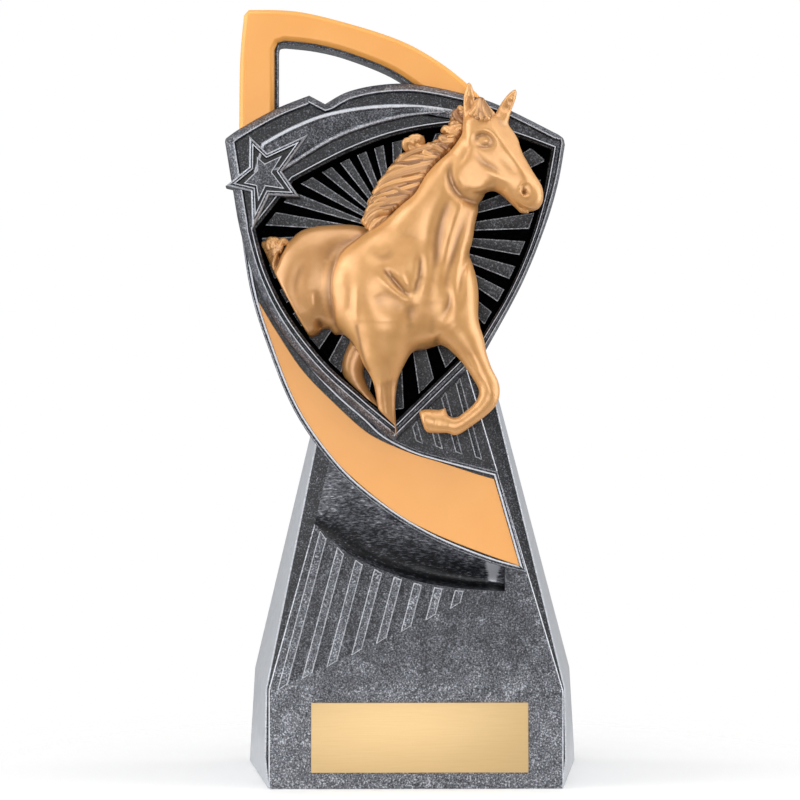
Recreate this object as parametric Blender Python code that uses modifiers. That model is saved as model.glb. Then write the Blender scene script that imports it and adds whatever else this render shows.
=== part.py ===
"""Equestrian trophy: one resin casting and the thin metal plate that is stuck on its plinth for engraving.

The casting is a plinth that narrows upwards, a band that loops over the top and crosses the plinth's
front, a shield with a sunburst and a star, and a horse in half round that gallops out of the shield.

The front leans back a little. Whatever belongs to it is drawn on that leaning face, in millimetres of the
drawing: x to the right, y up the face, and z out of it. FACE carries such a drawing into the world.
"""
import math

import bmesh
import bpy
from mathutils import Matrix, Vector

# The whole trophy
HEIGHT = 0.210
DRAWN_HEIGHT = 209.1
UNIT = HEIGHT / DRAWN_HEIGHT
LEAN = math.radians(4.0)

# Plinth: a foot with near-upright sides, then sides that lean in as far as the top behind the shield
BASE_DEPTH = 0.056
FOOT_BACK_HALF = 46.2
FOOT_FRONT_HALF = 40.4
FOOT_TUCK = 0.8
TUCK_HEIGHT = 8.0
KNEE = 26.6
KNEE_FRONT_HALF = 40.1
KNEE_BACK_HALF = 44.6
KNEE_BACK_TAPER = 1.0
PLINTH_TOP = 148.0
PLINTH_TOP_LEFT = -15.5
PLINTH_TOP_RIGHT = 11.0
PLINTH_TOP_THICKNESS = 12.0
BODY_SINK = 1.2

# Levels along z, out of the leaning face, in drawing millimetres
CASTING_BACK = -8.0
BAND_RIDGE = 1.3
BAND_EDGE = 0.3
BAND_FACE = 1.0
SHIELD_EDGE = 3.6
SHIELD_RIDGE = 5.5
SHIELD_FLOOR = 4.3
FRAME_RIDGE = 5.3
PANEL_FLOOR = -1.0
PANEL_DRAFT = 1.2
RAY_FACE = 0.0
TRAIL_FACE = 5.7
STAR_RIDGE = 7.4
STAR_GROOVE = 5.9
STAR_FACE = 6.9
POCKET_FLOOR = -1.1
BAR_RISE = 0.35
SINK = 0.6

# Engraving plate, held off the face by the thickness of its glue
PLATE_WIDTH = 0.0583
PLATE_HEIGHT = 0.0187
PLATE_THICKNESS = 0.0006
PLATE_RISE = 0.0044
PLATE_SHIFT = 0.0011
GLUE = 0.0003

# The rail on the right of the front, a straight line that the slab and the band end on
RAIL_FOOT = (39.6, 26.0)
RAIL_TOP = (13.6, 113.4)
RAIL_WIDTH = 1.1

# Bars that slant up the front, each a little shorter than the one before
BARS = 8
BAR_START = (-37.3, 26.2)
BAR_PITCH = 6.6
BAR_CLIMB = 3.15
BAR_WIDTH = 2.5
BAR_SLOPE = 0.267
BAR_TOP = 72.0
PILLAR_BARS = 4
PILLAR_BAR_START = (0.2, 92.6)
PILLAR_BAR_PITCH = 5.3
PILLAR_BAR_FALL = 1.45
PILLAR_BAR_WIDTH = 1.9
PILLAR_BAR_TOP = 114.0

# Sunburst
RAYS = 30
RAY_SHARE = 0.54
RAY_CENTRE = (-5.1, 148.9)
RAY_START = 6.0
RAY_CLEARANCE = 0.7
RAY_PHASE = math.radians(2.0)

# Steps of the horse's mesh before it is joined to the shield
HORSE_VOXEL = 0.8
HORSE_SMOOTHING = 6
HORSE_FACES = 5600
LOCK_LENGTH = 3.4

FACE_TURN = Matrix.Translation((0, -BASE_DEPTH / 2, 0)) @ Matrix.Rotation(math.pi / 2 - LEAN, 4, "X")
FACE = FACE_TURN @ Matrix.Scale(UNIT, 4)


def clear_scene():
    for old in list(bpy.data.objects):
        bpy.data.objects.remove(old, do_unlink=True)


def new_collection(name):
    group = bpy.data.collections.new(name)
    bpy.context.scene.collection.children.link(group)
    return group


def new_material(name, colour, roughness, metallic):
    made = bpy.data.materials.new(name)
    made.use_nodes = True
    shader = made.node_tree.nodes["Principled BSDF"]
    shader.inputs["Base Color"].default_value = (*colour, 1)
    shader.inputs["Roughness"].default_value = roughness
    shader.inputs["Metallic"].default_value = metallic
    return made


def add_object(name, mesh, group, place=None):
    made = bpy.data.objects.new(name, mesh)
    group.objects.link(made)
    if place is not None:
        mesh.transform(place)
    return made


def object_from_bmesh(name, shape, group, place=FACE):
    bmesh.ops.recalc_face_normals(shape, faces=shape.faces)
    mesh = bpy.data.meshes.new(name)
    shape.to_mesh(mesh)
    shape.free()
    return add_object(name, mesh, group, place)


def as_tool(tool):
    tool.hide_render = True
    tool.display_type = "WIRE"
    return tool


def join(body, tool):
    union = body.modifiers.new("with " + tool.name, "BOOLEAN")
    union.operation = "UNION"
    union.material_mode = "TRANSFER"
    union.object = as_tool(tool)


def cut(body, tool):
    difference = body.modifiers.new("less " + tool.name, "BOOLEAN")
    difference.operation = "DIFFERENCE"
    difference.material_mode = "TRANSFER"
    difference.object = as_tool(tool)


def on_curve(before, start, end, after, t):
    """A point of the smooth curve from start to end, whose slopes follow the points on either side."""
    pull = (end - before) * 0.5
    push = (after - start) * 0.5
    return ((2 * t ** 3 - 3 * t ** 2 + 1) * start + (t ** 3 - 2 * t ** 2 + t) * pull
            + (3 * t ** 2 - 2 * t ** 3) * end + (t ** 3 - t ** 2) * push)


def smooth_run(points, steps):
    """A smooth curve through all the points; the last one is left for the run that follows."""
    places = [Vector(point) for point in points]
    if len(places) == 2:
        return [places[0]]
    result = []
    for i in range(len(places) - 1):
        before = places[max(i - 1, 0)]
        after = places[min(i + 2, len(places) - 1)]
        for step in range(steps):
            result.append(on_curve(before, places[i], places[i + 1], after, step / steps))
    return result


def outline(*runs, steps=3):
    """A closed outline of smooth runs that meet at corners, each starting where the last one ended."""
    return [place for run in runs for place in smooth_run(run, steps)]


def slab(name, points, back, front, group, steps=()):
    """A flat piece of the face from back to front. Each step goes in by an inset and up by a rise."""
    shape = bmesh.new()
    corners = [shape.verts.new((point[0], point[1], back)) for point in points]
    floor = shape.faces.new(corners)
    if floor.normal.z > 0:
        floor.normal_flip()
    grown = bmesh.ops.extrude_face_region(shape, geom=[floor], use_keep_orig=True)
    top_verts = [item for item in grown["geom"] if isinstance(item, bmesh.types.BMVert)]
    top = [item for item in grown["geom"] if isinstance(item, bmesh.types.BMFace)][0]
    bmesh.ops.translate(shape, verts=top_verts, vec=(0, 0, front - back))
    bmesh.ops.recalc_face_normals(shape, faces=shape.faces)
    for inset, rise in steps:
        bmesh.ops.inset_individual(shape, faces=[top], thickness=inset, depth=rise, use_even_offset=True)
    return object_from_bmesh(name, shape, group)


def face_point(x, y, z):
    return FACE @ Vector((x, y, z))


def front_at_height(x, height, z):
    """The place on the leaning face that is z out of it and as high above the ground as asked."""
    y = (height - z * math.sin(LEAN)) / math.cos(LEAN)
    return face_point(x, y, z)


def rail_x(y):
    share = (y - RAIL_FOOT[1]) / (RAIL_TOP[1] - RAIL_FOOT[1])
    return RAIL_FOOT[0] + share * (RAIL_TOP[0] - RAIL_FOOT[0])


# Outlines on the face

def ledge_run():
    """The lower edge of the cove, from beyond the plinth's left edge to its right end."""
    return [(-38, 76), (-32, 73.5), (-27, 70.6), (-17.5, 62.5), (-4.2, 56.7), (9, 53.8), (24, 52.7)]


def cove_top_run():
    """The upper edge of the cove, just under the band."""
    return [(-38, 112), (-29, 96.5), (-17, 83), (-4, 73), (8, 67.2), (17, 63.7), (24, 61.4)]


def band_low_run():
    """The band's outer edge from its right end round to the left side of the shield."""
    return [(29.9, 57.6), (18.3, 60.9), (2.7, 67.5), (-10.9, 76.2), (-22, 86.3), (-32.7, 101.5),
            (-40.2, 120), (-44.4, 134), (-46.9, 150)]


def band_high_run():
    """The band's inner edge from beside the shield's left side to its right end."""
    return [(-38.5, 132), (-30, 114.8), (-21.3, 104.7), (-7.9, 94.2), (6.6, 88.8), (rail_x(84.8), 84.8)]


def band_outline():
    return outline(
        band_low_run(),
        [(-46.9, 150), (-47.2, 178), (-46.9, 196), (-45.8, 208.4)],
        [(-45.8, 208.4), (-45.2, 209.4)],
        [(-45.2, 209.4), (-32, 208.8), (-18.2, 205.5), (-4.4, 201), (5.3, 195.8), (13.2, 189.8), (19, 184)],
        [(19, 184), (14, 176)],
        [(14, 176), (4, 185)],
        [(4, 185), (-6.2, 192), (-18.2, 196.9), (-27, 199.1), (-35, 200)],
        [(-35, 200), (-36.8, 198.2)],
        [(-36.8, 198.2), (-36.8, 150)],
        [(-36.8, 150), (-38.5, 132)],
        band_high_run(),
        [(rail_x(84.8), 84.8), (29.9, 57.6)])


def shield_outline():
    return outline(
        [(-51.1, 173.4), (-50.2, 174.8)],
        [(-50.2, 174.8), (-47, 177), (-37.7, 182.2), (-28.5, 185.9)],
        [(-28.5, 185.9), (-24.2, 183.6)],
        [(-24.2, 183.6), (-18.2, 186.9), (-9.6, 188.8), (0, 189), (12.4, 186.6), (22.7, 183.3), (38.6, 175.4)],
        [(38.6, 175.4), (40.3, 172.6)],
        [(40.3, 172.6), (38.4, 162.1), (34.9, 150.4), (28.5, 134.8), (18.8, 117)],
        [(18.8, 117), (-5.8, 92.8)],
        [(-5.8, 92.8), (-14.3, 99.7), (-26.1, 110.3), (-35.2, 121), (-42.2, 133.9), (-46.8, 148.7),
         (-48.9, 160), (-51.1, 173.4)])


def panel_outline():
    return outline(
        [(-5.7, 96.6), (18, 120)],
        [(18, 120), (25.3, 132.4), (31.2, 145.9), (34.9, 158.5), (37.4, 171.6)],
        [(37.4, 171.6), (28.6, 174.9), (20.1, 177.4), (10.7, 178.4), (-4.5, 176), (-18, 171.2), (-33.1, 163.4)],
        [(-33.1, 163.4), (-43.8, 149.8)],
        [(-43.8, 149.8), (-40.7, 138.4), (-34.6, 126.1), (-25, 113.6), (-15, 104.4), (-5.7, 96.6)])


def trail_outline():
    return outline(
        [(-41.5, 172.8), (-33.1, 177.4), (-22.9, 181.2), (-9, 183.3), (3.9, 182.8), (19, 179.6)],
        [(19, 179.6), (10.7, 180.8), (-4.1, 179), (-20.2, 173.9), (-35, 165)],
        [(-35, 165), (-44, 164)],
        [(-44, 164), (-41.5, 172.8)])


def star_outline():
    """Five points of unlike length, as if the star flew up and to the right."""
    tips = [(-44.5, 174.6), (-28.2, 175.2), (-30.9, 158), (-43.7, 148.8), (-50.9, 161)]
    notches = [(-39.6, 169.8), (-36.8, 165), (-39.1, 159.4), (-43.6, 160.3), (-44.3, 166)]
    return [Vector(place) for pair in zip(tips, notches) for place in pair]


# Solids

def plinth(group):
    """The plinth's body: the hull of its foot, its knee and its top."""
    back = BASE_DEPTH / 2
    top_y = PLINTH_TOP
    places = [face_point(PLINTH_TOP_LEFT, top_y, -BODY_SINK),
              face_point(PLINTH_TOP_RIGHT, top_y, -BODY_SINK),
              face_point(PLINTH_TOP_LEFT, top_y, -PLINTH_TOP_THICKNESS),
              face_point(PLINTH_TOP_RIGHT, top_y, -PLINTH_TOP_THICKNESS)]
    for side in (-1, 1):
        places.append(front_at_height(side * (FOOT_FRONT_HALF - FOOT_TUCK), 0, -BODY_SINK))
        places.append(front_at_height(side * FOOT_FRONT_HALF, TUCK_HEIGHT, -BODY_SINK))
        places.append(front_at_height(side * KNEE_FRONT_HALF, KNEE, -BODY_SINK))
        places.append(Vector((side * FOOT_BACK_HALF * UNIT, back, 0)))
        places.append(Vector((side * KNEE_BACK_HALF * UNIT, back - KNEE_BACK_TAPER * UNIT, KNEE * UNIT)))
    shape = bmesh.new()
    for place in places:
        shape.verts.new(place)
    bmesh.ops.convex_hull(shape, input=shape.verts)
    return object_from_bmesh("trophy_casting", shape, group, Matrix.Identity(4))


def front_slab(group):
    """The raised front that leaves a groove along each leaning edge of the plinth."""
    points = [Vector(place) for place in (
        (-39.3, -3), (39.5, -3), RAIL_FOOT, RAIL_TOP, (-14, 112), (-22, 92), (-27, 71), (-39.3, KNEE))]
    return slab("front_slab", points, -BODY_SINK - SINK, 0, group)


def bar(name, start, width, top, slope, group, level):
    """One slanted bar whose lower end is cut on the rise."""
    lean = slope * (top - start[1])
    points = [Vector(start), Vector((start[0] + width, start[1] + width * 0.5)),
              Vector((start[0] + width + lean, top)), Vector((start[0] + lean, top))]
    if slope < 0:
        points[0].y, points[1].y = points[1].y, points[0].y
    return slab(name, points, level - SINK, level + BAR_RISE, group)


def cove(group):
    """The hollow under the band: a wall at the ledge, deepest just above it, then rising to the band."""
    depths = (1.2, 2.2, 3.4, 5.0, 6.2, 6.6, 6.2)
    section = ((0.0, 3.0, 0.0), (0.0, 0.3, 0.0), (0.04, 0.0, 0.55), (0.14, 0.0, 0.92), (0.3, 0.0, 1.0),
               (0.55, 0.0, 0.8), (0.8, 0.0, 0.42), (1.0, 0.0, 0.12), (1.0, 3.0, 0.0))
    steps = 2
    low = smooth_run(ledge_run(), steps) + [Vector(ledge_run()[-1])]
    high = smooth_run(cove_top_run(), steps) + [Vector(cove_top_run()[-1])]
    shape = bmesh.new()
    rows = []
    for i, (start, end) in enumerate(zip(low, high)):
        whole, share = divmod(i / steps, 1)
        depth = depths[int(whole)]
        if share > 0:
            depth += share * (depths[int(whole) + 1] - depth)
        row = []
        for along, out, down in section:
            place = start.lerp(end, along)
            row.append(shape.verts.new((place.x, place.y, out - down * depth)))
        rows.append(row)
    for row, following in zip(rows, rows[1:]):
        for i in range(len(section)):
            j = (i + 1) % len(section)
            shape.faces.new((row[i], row[j], following[j], following[i]))
    shape.faces.new(rows[0])
    shape.faces.new(rows[-1])
    return object_from_bmesh("cove", shape, group)


def band(group):
    """The band, with a bead along its edge and a sunk face inside the bead."""
    steps = ((0.5, BAND_RIDGE - BAND_EDGE), (0.45, 0), (0.35, BAND_FACE - BAND_RIDGE))
    return slab("band", band_outline(), CASTING_BACK, BAND_EDGE, group, steps)


def shield(group):
    steps = ((1.6, SHIELD_RIDGE - SHIELD_EDGE), (0.3, 0), (0.4, SHIELD_FLOOR - SHIELD_RIDGE))
    return slab("shield", shield_outline(), CASTING_BACK, SHIELD_EDGE, group, steps)


def grown_outline(points, distance):
    """The outline moved outwards by a distance, each corner along the middle of its angle."""
    result = []
    for i, place in enumerate(points):
        before = (place - points[i - 1]).normalized()
        after = (points[(i + 1) % len(points)] - place).normalized()
        outward = Vector((before.y + after.y, -before.x - after.x)).normalized()
        lean = max(outward.dot(Vector((after.y, -after.x))), 0.4)
        result.append(place + outward * (distance / lean))
    return result


def panel_frame(group):
    """The inner ridge of the rim, a low frame round the sunburst."""
    points = grown_outline(panel_outline(), 1.1)
    steps = ((0.6, FRAME_RIDGE - SHIELD_FLOOR),)
    return slab("panel_frame", points, SHIELD_FLOOR - SINK, SHIELD_FLOOR, group, steps)


def panel_cut(group):
    """The recess of the sunburst, built downwards, so that its walls lean in towards its floor."""
    steps = ((PANEL_DRAFT, FRAME_RIDGE - PANEL_FLOOR),)
    return slab("panel_cut", panel_outline(), FRAME_RIDGE + 1, FRAME_RIDGE, group, steps)


def reach(angle, points):
    """How far it is from the middle of the sunburst to the outline at this angle."""
    middle = Vector(RAY_CENTRE)
    way = Vector((math.cos(angle), math.sin(angle)))
    for i, end in enumerate(points):
        start = points[i - 1]
        side = end - start
        turn = way.x * side.y - way.y * side.x
        if abs(turn) < 1e-9:
            continue
        to_start = start - middle
        distance = (to_start.x * side.y - to_start.y * side.x) / turn
        share = (to_start.x * way.y - to_start.y * way.x) / turn
        if distance > 0 and 0 <= share < 1:
            return distance
    return 0


def sunburst(group):
    """Raised rays round the middle, each as long as the recess allows."""
    points = grown_outline(panel_outline(), -PANEL_DRAFT - RAY_CLEARANCE)
    middle = Vector(RAY_CENTRE)
    step = 2 * math.pi / RAYS
    shape = bmesh.new()
    for i in range(RAYS):
        corners = []
        for angle in (RAY_PHASE + i * step, RAY_PHASE + (i + RAY_SHARE) * step):
            way = Vector((math.cos(angle), math.sin(angle)))
            corners.append((middle + way * RAY_START, middle + way * reach(angle, points)))
        (low_in, low_out), (high_in, high_out) = corners
        rings = [[shape.verts.new((place.x, place.y, z)) for place in (low_in, low_out, high_out, high_in)]
                 for z in (PANEL_FLOOR - SINK, RAY_FACE)]
        shape.faces.new(reversed(rings[0]))
        shape.faces.new(rings[1])
        for j in range(4):
            k = (j + 1) % 4
            shape.faces.new((rings[0][j], rings[0][k], rings[1][k], rings[1][j]))
    return object_from_bmesh("sunburst", shape, group)


def trail(group):
    """The star's trail, a raised crescent with rounded edges."""
    steps = ((0.35, 0.55), (0.45, 0.25))
    return slab("trail", trail_outline(), SHIELD_FLOOR - SINK, TRAIL_FACE - 0.8, group, steps)


def star(group):
    """A star inside a star: a ridge along the edge, a groove, and a flat star in the middle."""
    edge = STAR_RIDGE - 1.1
    steps = ((0.8, STAR_RIDGE - edge), (0.15, 0), (0.6, STAR_GROOVE - STAR_RIDGE), (0.45, 0),
             (0.25, STAR_FACE - STAR_GROOVE))
    return slab("star", star_outline(), PANEL_FLOOR - SINK, edge, group, steps)


def pocket(group):
    """The sunk panel of the plinth between the shield, the band and the rail."""
    points = [Vector(place) for place in ((-9, 94.6), (6.6, 89.4), (rail_x(85.6) - RAIL_WIDTH, 85.6),
                                          (rail_x(114) - RAIL_WIDTH, 114), (4, 118))]
    return slab("pocket", points, 3, POCKET_FLOOR, group)


# The horse, from blocks that a voxel remesh melts together: x, y, z and radius along each limb

def limb(shape, knots, flat=0.75):
    """A tapered limb, flattened along z."""
    curve = bpy.data.curves.new("limb", "CURVE")
    curve.dimensions = "3D"
    curve.bevel_depth = 1
    curve.bevel_resolution = 4
    curve.resolution_u = 4
    curve.use_fill_caps = True
    spline = curve.splines.new("BEZIER")
    spline.bezier_points.add(len(knots) - 1)
    for knot, (x, y, z, radius) in zip(spline.bezier_points, knots):
        knot.co = (x, y, z / flat)
        knot.radius = radius
        knot.handle_left_type = "AUTO"
        knot.handle_right_type = "AUTO"
    guide = bpy.data.objects.new("limb", curve)
    bpy.context.scene.collection.objects.link(guide)
    bpy.context.view_layer.update()
    mesh = bpy.data.meshes.new_from_object(guide.evaluated_get(bpy.context.evaluated_depsgraph_get()))
    mesh.transform(Matrix.Scale(flat, 4, (0, 0, 1)))
    shape.from_mesh(mesh)
    bpy.data.objects.remove(guide, do_unlink=True)
    bpy.data.meshes.remove(mesh)


def lump(shape, centre, radii):
    """A muscle: a ball with three radii."""
    place = Matrix.Translation(centre) @ Matrix.Diagonal((*radii, 1))
    bmesh.ops.create_uvsphere(shape, u_segments=32, v_segments=20, radius=1, matrix=place)


def body_blocks(shape):
    """The hindquarters, the barrel, both shoulders and what fills the hollow behind them."""
    lump(shape, (-25, 136, 1), (14, 15.5, 8))
    lump(shape, (-28, 130.5, 1), (9, 10.5, 7.5))
    lump(shape, (-14, 144, -1), (11, 7, 6))
    lump(shape, (-7, 134, 4), (17.5, 17.8, 12))
    lump(shape, (1, 131.5, 5), (14.5, 15, 11.5))
    lump(shape, (-10.5, 134.5, 7.5), (9.5, 13.5, 9.8))
    lump(shape, (8.9, 130, 7), (8.3, 13, 9.2))


def tail(shape):
    lump(shape, (-37.5, 142.8, 0.5), (4.6, 3.4, 2.8))
    limb(shape, ((-36, 143, 1.5, 1.6), (-37, 146, 1.5, 1.1), (-34.5, 147, 1, 0.5)), 1)
    limb(shape, ((-38.5, 143, 1, 1.6), (-40, 146.2, 1, 1), (-42, 146.4, 1, 0.6)), 1)


def head(shape):
    limb(shape, ((18.3, 176, 11, 5.4), (21.3, 170.2, 11.5, 7.3), (24, 165.6, 11.7, 6.8),
                 (26.6, 161.8, 11.8, 5.9), (29.6, 158, 11.8, 4.9)), 0.8)
    lump(shape, (30, 157.4, 11.8), (4.7, 4.8, 3.8))
    lump(shape, (15.4, 163.6, 11), (5.9, 6.4, 5.4))
    limb(shape, ((15.2, 176.5, 10.5, 2.6), (14.6, 183, 10.5, 2.4), (14.2, 188.8, 10.5, 0.9)), 0.8)
    limb(shape, ((21.4, 177, 10.5, 2.4), (24.2, 182.3, 10.5, 2.2), (26.8, 187, 10.5, 0.9)), 0.8)
    limb(shape, ((18, 177, 12, 2.4), (18.2, 181.5, 12, 1.8), (17.2, 184, 11.5, 0.8)), 1)


def neck_and_mane(shape):
    limb(shape, ((0, 138, 6, 15), (3, 147, 7, 12.8), (5.6, 154.3, 8, 11.2), (10, 161, 9, 9.3),
                 (13.5, 165.5, 10, 7.9), (16.2, 171, 10.5, 6.3), (17.5, 176, 10.5, 5)))
    crest = ((12.6, 180.5), (9.6, 175.8), (4.4, 170), (-1.5, 163.8), (-6.4, 157.8), (-10.5, 151.6))
    limb(shape, [(x, y, 6.5 + i * -0.5, 2.3) for i, (x, y) in enumerate(crest)], 1)
    for (x, y), (to_x, to_y) in zip(crest, crest[1:]):
        for share in (0.15, 0.6):
            root = Vector((x, y)).lerp(Vector((to_x, to_y)), share)
            way = Vector((y - to_y, to_x - x)).normalized() * -LOCK_LENGTH
            tip = root + way
            limb(shape, ((root.x + 2, root.y - 1, 7, 1.9), (root.x + way.x / 2, root.y + way.y / 2, 6.5, 1.3),
                         (tip.x - 1, tip.y - 1.5, 5.5, 0.6)), 1)


def forelegs(shape):
    limb(shape, ((-8, 124, 8, 8.5), (-8.7, 116.9, 8, 6.4), (-8.5, 112.9, 8, 4.6), (-8.2, 108.9, 7.5, 3.3),
                 (-7.7, 103.6, 7, 2.7), (-7, 99, 6.5, 2.3), (-6, 95.5, 6, 2)), 0.9)
    limb(shape, ((9, 124, 9, 5.5), (12.2, 121, 9.5, 4.3), (13.8, 117.5, 10, 3.4), (15.9, 114.2, 10.5, 3),
                 (18, 110.2, 10.5, 2.8), (19.5, 106.2, 10.5, 2.8), (18.8, 103.2, 10.3, 2.6), (16.4, 100.6, 10, 2.3),
                 (13.5, 98, 9.6, 2.1), (11.1, 96.8, 9, 2.1), (9, 96.8, 8.5, 2.5)), 1)
    limb(shape, ((9.6, 97, 8.4, 2.2), (6, 97.6, 7.8, 3.1), (2.6, 98.2, 7.2, 3.7)), 1)


def hind_leg(shape):
    limb(shape, ((-14, 119, 1, 3.2), (-16.4, 113.5, 1, 3), (-16.2, 109.8, 1, 2.7), (-14.2, 105.8, 1, 2.2),
                 (-11.6, 101.8, 1, 1.8), (-9.5, 98.5, 1, 1.6)), 1)


def horse_trim(group):
    """What lies outside the rim, on the side where the rim cuts the horse off."""
    points = outline(
        [(-41.4, 146.4), (-37.8, 138), (-28.5, 121.1), (-18.9, 109.8), (-9.5, 100.7), (-5.6, 96.9)],
        [(-5.6, 96.9), (-5, 84)],
        [(-5, 84), (-60, 84)],
        [(-60, 84), (-60, 147.5)],
        [(-60, 147.5), (-41.4, 146.4)])
    return slab("horse_trim", points, PANEL_FLOOR - 0.2, 30, group)


def horse(group):
    shape = bmesh.new()
    body_blocks(shape)
    tail(shape)
    neck_and_mane(shape)
    head(shape)
    forelegs(shape)
    hind_leg(shape)
    blocks = object_from_bmesh("horse", shape, group)
    melt = blocks.modifiers.new("melt", "REMESH")
    melt.mode = "VOXEL"
    melt.voxel_size = HORSE_VOXEL * UNIT
    soften = blocks.modifiers.new("soften", "SMOOTH")
    soften.iterations = HORSE_SMOOTHING
    mesh = bpy.data.meshes.new_from_object(blocks.evaluated_get(bpy.context.evaluated_depsgraph_get()))
    thin = blocks.modifiers.new("thin", "DECIMATE")
    thin.ratio = min(1, HORSE_FACES / (2 * len(mesh.polygons)))
    cut(blocks, horse_trim(group))
    return blocks


def ground(group):
    """Everything below the underside."""
    shape = bmesh.new()
    bmesh.ops.create_cube(shape, size=2 * BASE_DEPTH, matrix=Matrix.Translation((0, 0, -BASE_DEPTH)))
    return object_from_bmesh("ground", shape, group, Matrix.Identity(4))


def engraving_plate(group):
    shape = bmesh.new()
    middle = (PLATE_SHIFT, PLATE_RISE + PLATE_HEIGHT / 2, GLUE + PLATE_THICKNESS / 2)
    size = Matrix.Diagonal((PLATE_WIDTH, PLATE_HEIGHT, PLATE_THICKNESS, 1))
    bmesh.ops.create_cube(shape, size=1, matrix=FACE_TURN @ Matrix.Translation(middle) @ size)
    return object_from_bmesh("engraving_plate", shape, group, Matrix.Identity(4))


def build():
    clear_scene()
    parts = new_collection("equestrian_trophy")
    shaping = new_collection("shaping")
    silver = new_material("antique_silver_resin", (0.13, 0.13, 0.15), 0.45, 0.6)
    paint = new_material("satin_orange_paint", (0.9, 0.42, 0.11), 0.5, 0)
    gold = new_material("satin_gold_paint", (0.72, 0.42, 0.18), 0.4, 0.3)
    brass = new_material("pale_gold_plate", (0.85, 0.63, 0.3), 0.35, 0.6)

    casting = plinth(parts)
    pieces = [(join, front_slab(shaping), silver)]
    for i in range(BARS):
        start = (BAR_START[0] + i * BAR_PITCH, BAR_START[1] + i * BAR_CLIMB)
        pieces.append((join, bar(f"bar_{i}", start, BAR_WIDTH, BAR_TOP, BAR_SLOPE, shaping, 0), silver))
    pieces.append((cut, cove(shaping), silver))
    pieces.append((cut, pocket(shaping), silver))
    for i in range(PILLAR_BARS):
        start = (PILLAR_BAR_START[0] + i * PILLAR_BAR_PITCH, PILLAR_BAR_START[1] - i * PILLAR_BAR_FALL)
        pieces.append((join, bar(f"pillar_bar_{i}", start, PILLAR_BAR_WIDTH, PILLAR_BAR_TOP, -BAR_SLOPE, shaping,
                                 POCKET_FLOOR), silver))
    pieces += [(join, band(shaping), paint), (join, shield(shaping), silver), (join, trail(shaping), silver),
               (join, panel_frame(shaping), silver), (cut, panel_cut(shaping), silver),
               (join, sunburst(shaping), silver), (join, star(shaping), silver), (join, horse(shaping), gold),
               (cut, ground(shaping), silver)]
    casting.data.materials.append(silver)
    for operation, tool, finish in pieces:
        tool.data.materials.append(finish)
        operation(casting, tool)
    engraving_plate(parts).data.materials.append(brass)


build()
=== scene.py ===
# %% [markdown]
# # An equestrian trophy
# The real one is a single casting in stone-filled polyester resin. Most of it is painted antique silver:
# a dark wash over grey metal paint, with the edges rubbed bright. The band is satin orange, the horse
# satin gold, and a thin pale gold plate for engraving is stuck on the foot.
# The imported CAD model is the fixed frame. Each finer piece here takes the place of the casting in it.

# %% The fixed frame
import math

import bmesh
import bpy
import numpy as np
from mathutils import Matrix, Vector


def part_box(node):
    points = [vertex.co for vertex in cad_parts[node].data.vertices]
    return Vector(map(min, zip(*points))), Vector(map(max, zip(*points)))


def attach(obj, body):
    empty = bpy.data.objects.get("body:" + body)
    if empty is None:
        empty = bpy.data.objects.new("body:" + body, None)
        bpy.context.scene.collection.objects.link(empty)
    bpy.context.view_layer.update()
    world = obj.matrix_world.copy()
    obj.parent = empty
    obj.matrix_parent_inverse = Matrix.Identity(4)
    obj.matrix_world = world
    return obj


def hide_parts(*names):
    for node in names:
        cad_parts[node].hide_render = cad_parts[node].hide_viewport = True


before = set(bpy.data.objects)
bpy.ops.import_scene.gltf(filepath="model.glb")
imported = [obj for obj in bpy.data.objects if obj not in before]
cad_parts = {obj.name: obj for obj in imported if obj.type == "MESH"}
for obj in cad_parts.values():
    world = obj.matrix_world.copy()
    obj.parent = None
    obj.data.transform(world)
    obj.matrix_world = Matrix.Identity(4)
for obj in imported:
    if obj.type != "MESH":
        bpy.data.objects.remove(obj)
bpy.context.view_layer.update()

# %% [markdown]
# ## One drawing for the whole front
# The front leans back by four degrees. Everything on it is drawn in millimetres on that leaning face:
# x to the right, y up the face and z out of it. One matrix carries the drawing into the world, and each
# finished mesh is carried over vertex by vertex, so that every object stays at the origin.

# %% From the drawing to the world
HEIGHT = 0.210
DRAWN_HEIGHT = 209.1
UNIT = HEIGHT / DRAWN_HEIGHT
LEAN = math.radians(4.0)
BASE_DEPTH = 0.056
FACE_TURN = Matrix.Translation((0, -BASE_DEPTH / 2, 0)) @ Matrix.Rotation(math.pi / 2 - LEAN, 4, "X")
FACE = FACE_TURN @ Matrix.Scale(UNIT, 4)
SHARP = math.radians(35)


def placed(name, data):
    """A new object in the scene, at the origin."""
    made = bpy.data.objects.new(name, data)
    bpy.context.scene.collection.objects.link(made)
    return made


MERGED_BELOW = 0.01
FLAT_BELOW = 0.005


def finished_mesh(name, places, faces, material, attributes=None, place=FACE, close=True, extra=()):
    """A smooth-shaded object with creases kept, its doubles merged and its faces turned outwards."""
    mesh = bpy.data.meshes.new(name)
    mesh.from_pydata([tuple(map(float, p)) for p in places], [], [tuple(map(int, f)) for f in faces])
    for key, values in (attributes or {}).items():
        mesh.attributes.new(key, "FLOAT", "POINT").data.foreach_set("value", np.asarray(values, np.float32))
    if close:
        shape = bmesh.new()
        shape.from_mesh(mesh)
        bmesh.ops.remove_doubles(shape, verts=shape.verts, dist=MERGED_BELOW)
        bmesh.ops.dissolve_degenerate(shape, edges=shape.edges, dist=FLAT_BELOW)
        bmesh.ops.recalc_face_normals(shape, faces=shape.faces)
        shape.to_mesh(mesh)
        shape.free()
    mesh.transform(place)
    for finish in (material, *extra):
        mesh.materials.append(finish)
    mesh.shade_smooth()
    mesh.set_sharp_from_angle(angle=SHARP)
    print(name, len(mesh.vertices), "vertices,", len(mesh.polygons), "faces")
    return placed(name, mesh)


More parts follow.
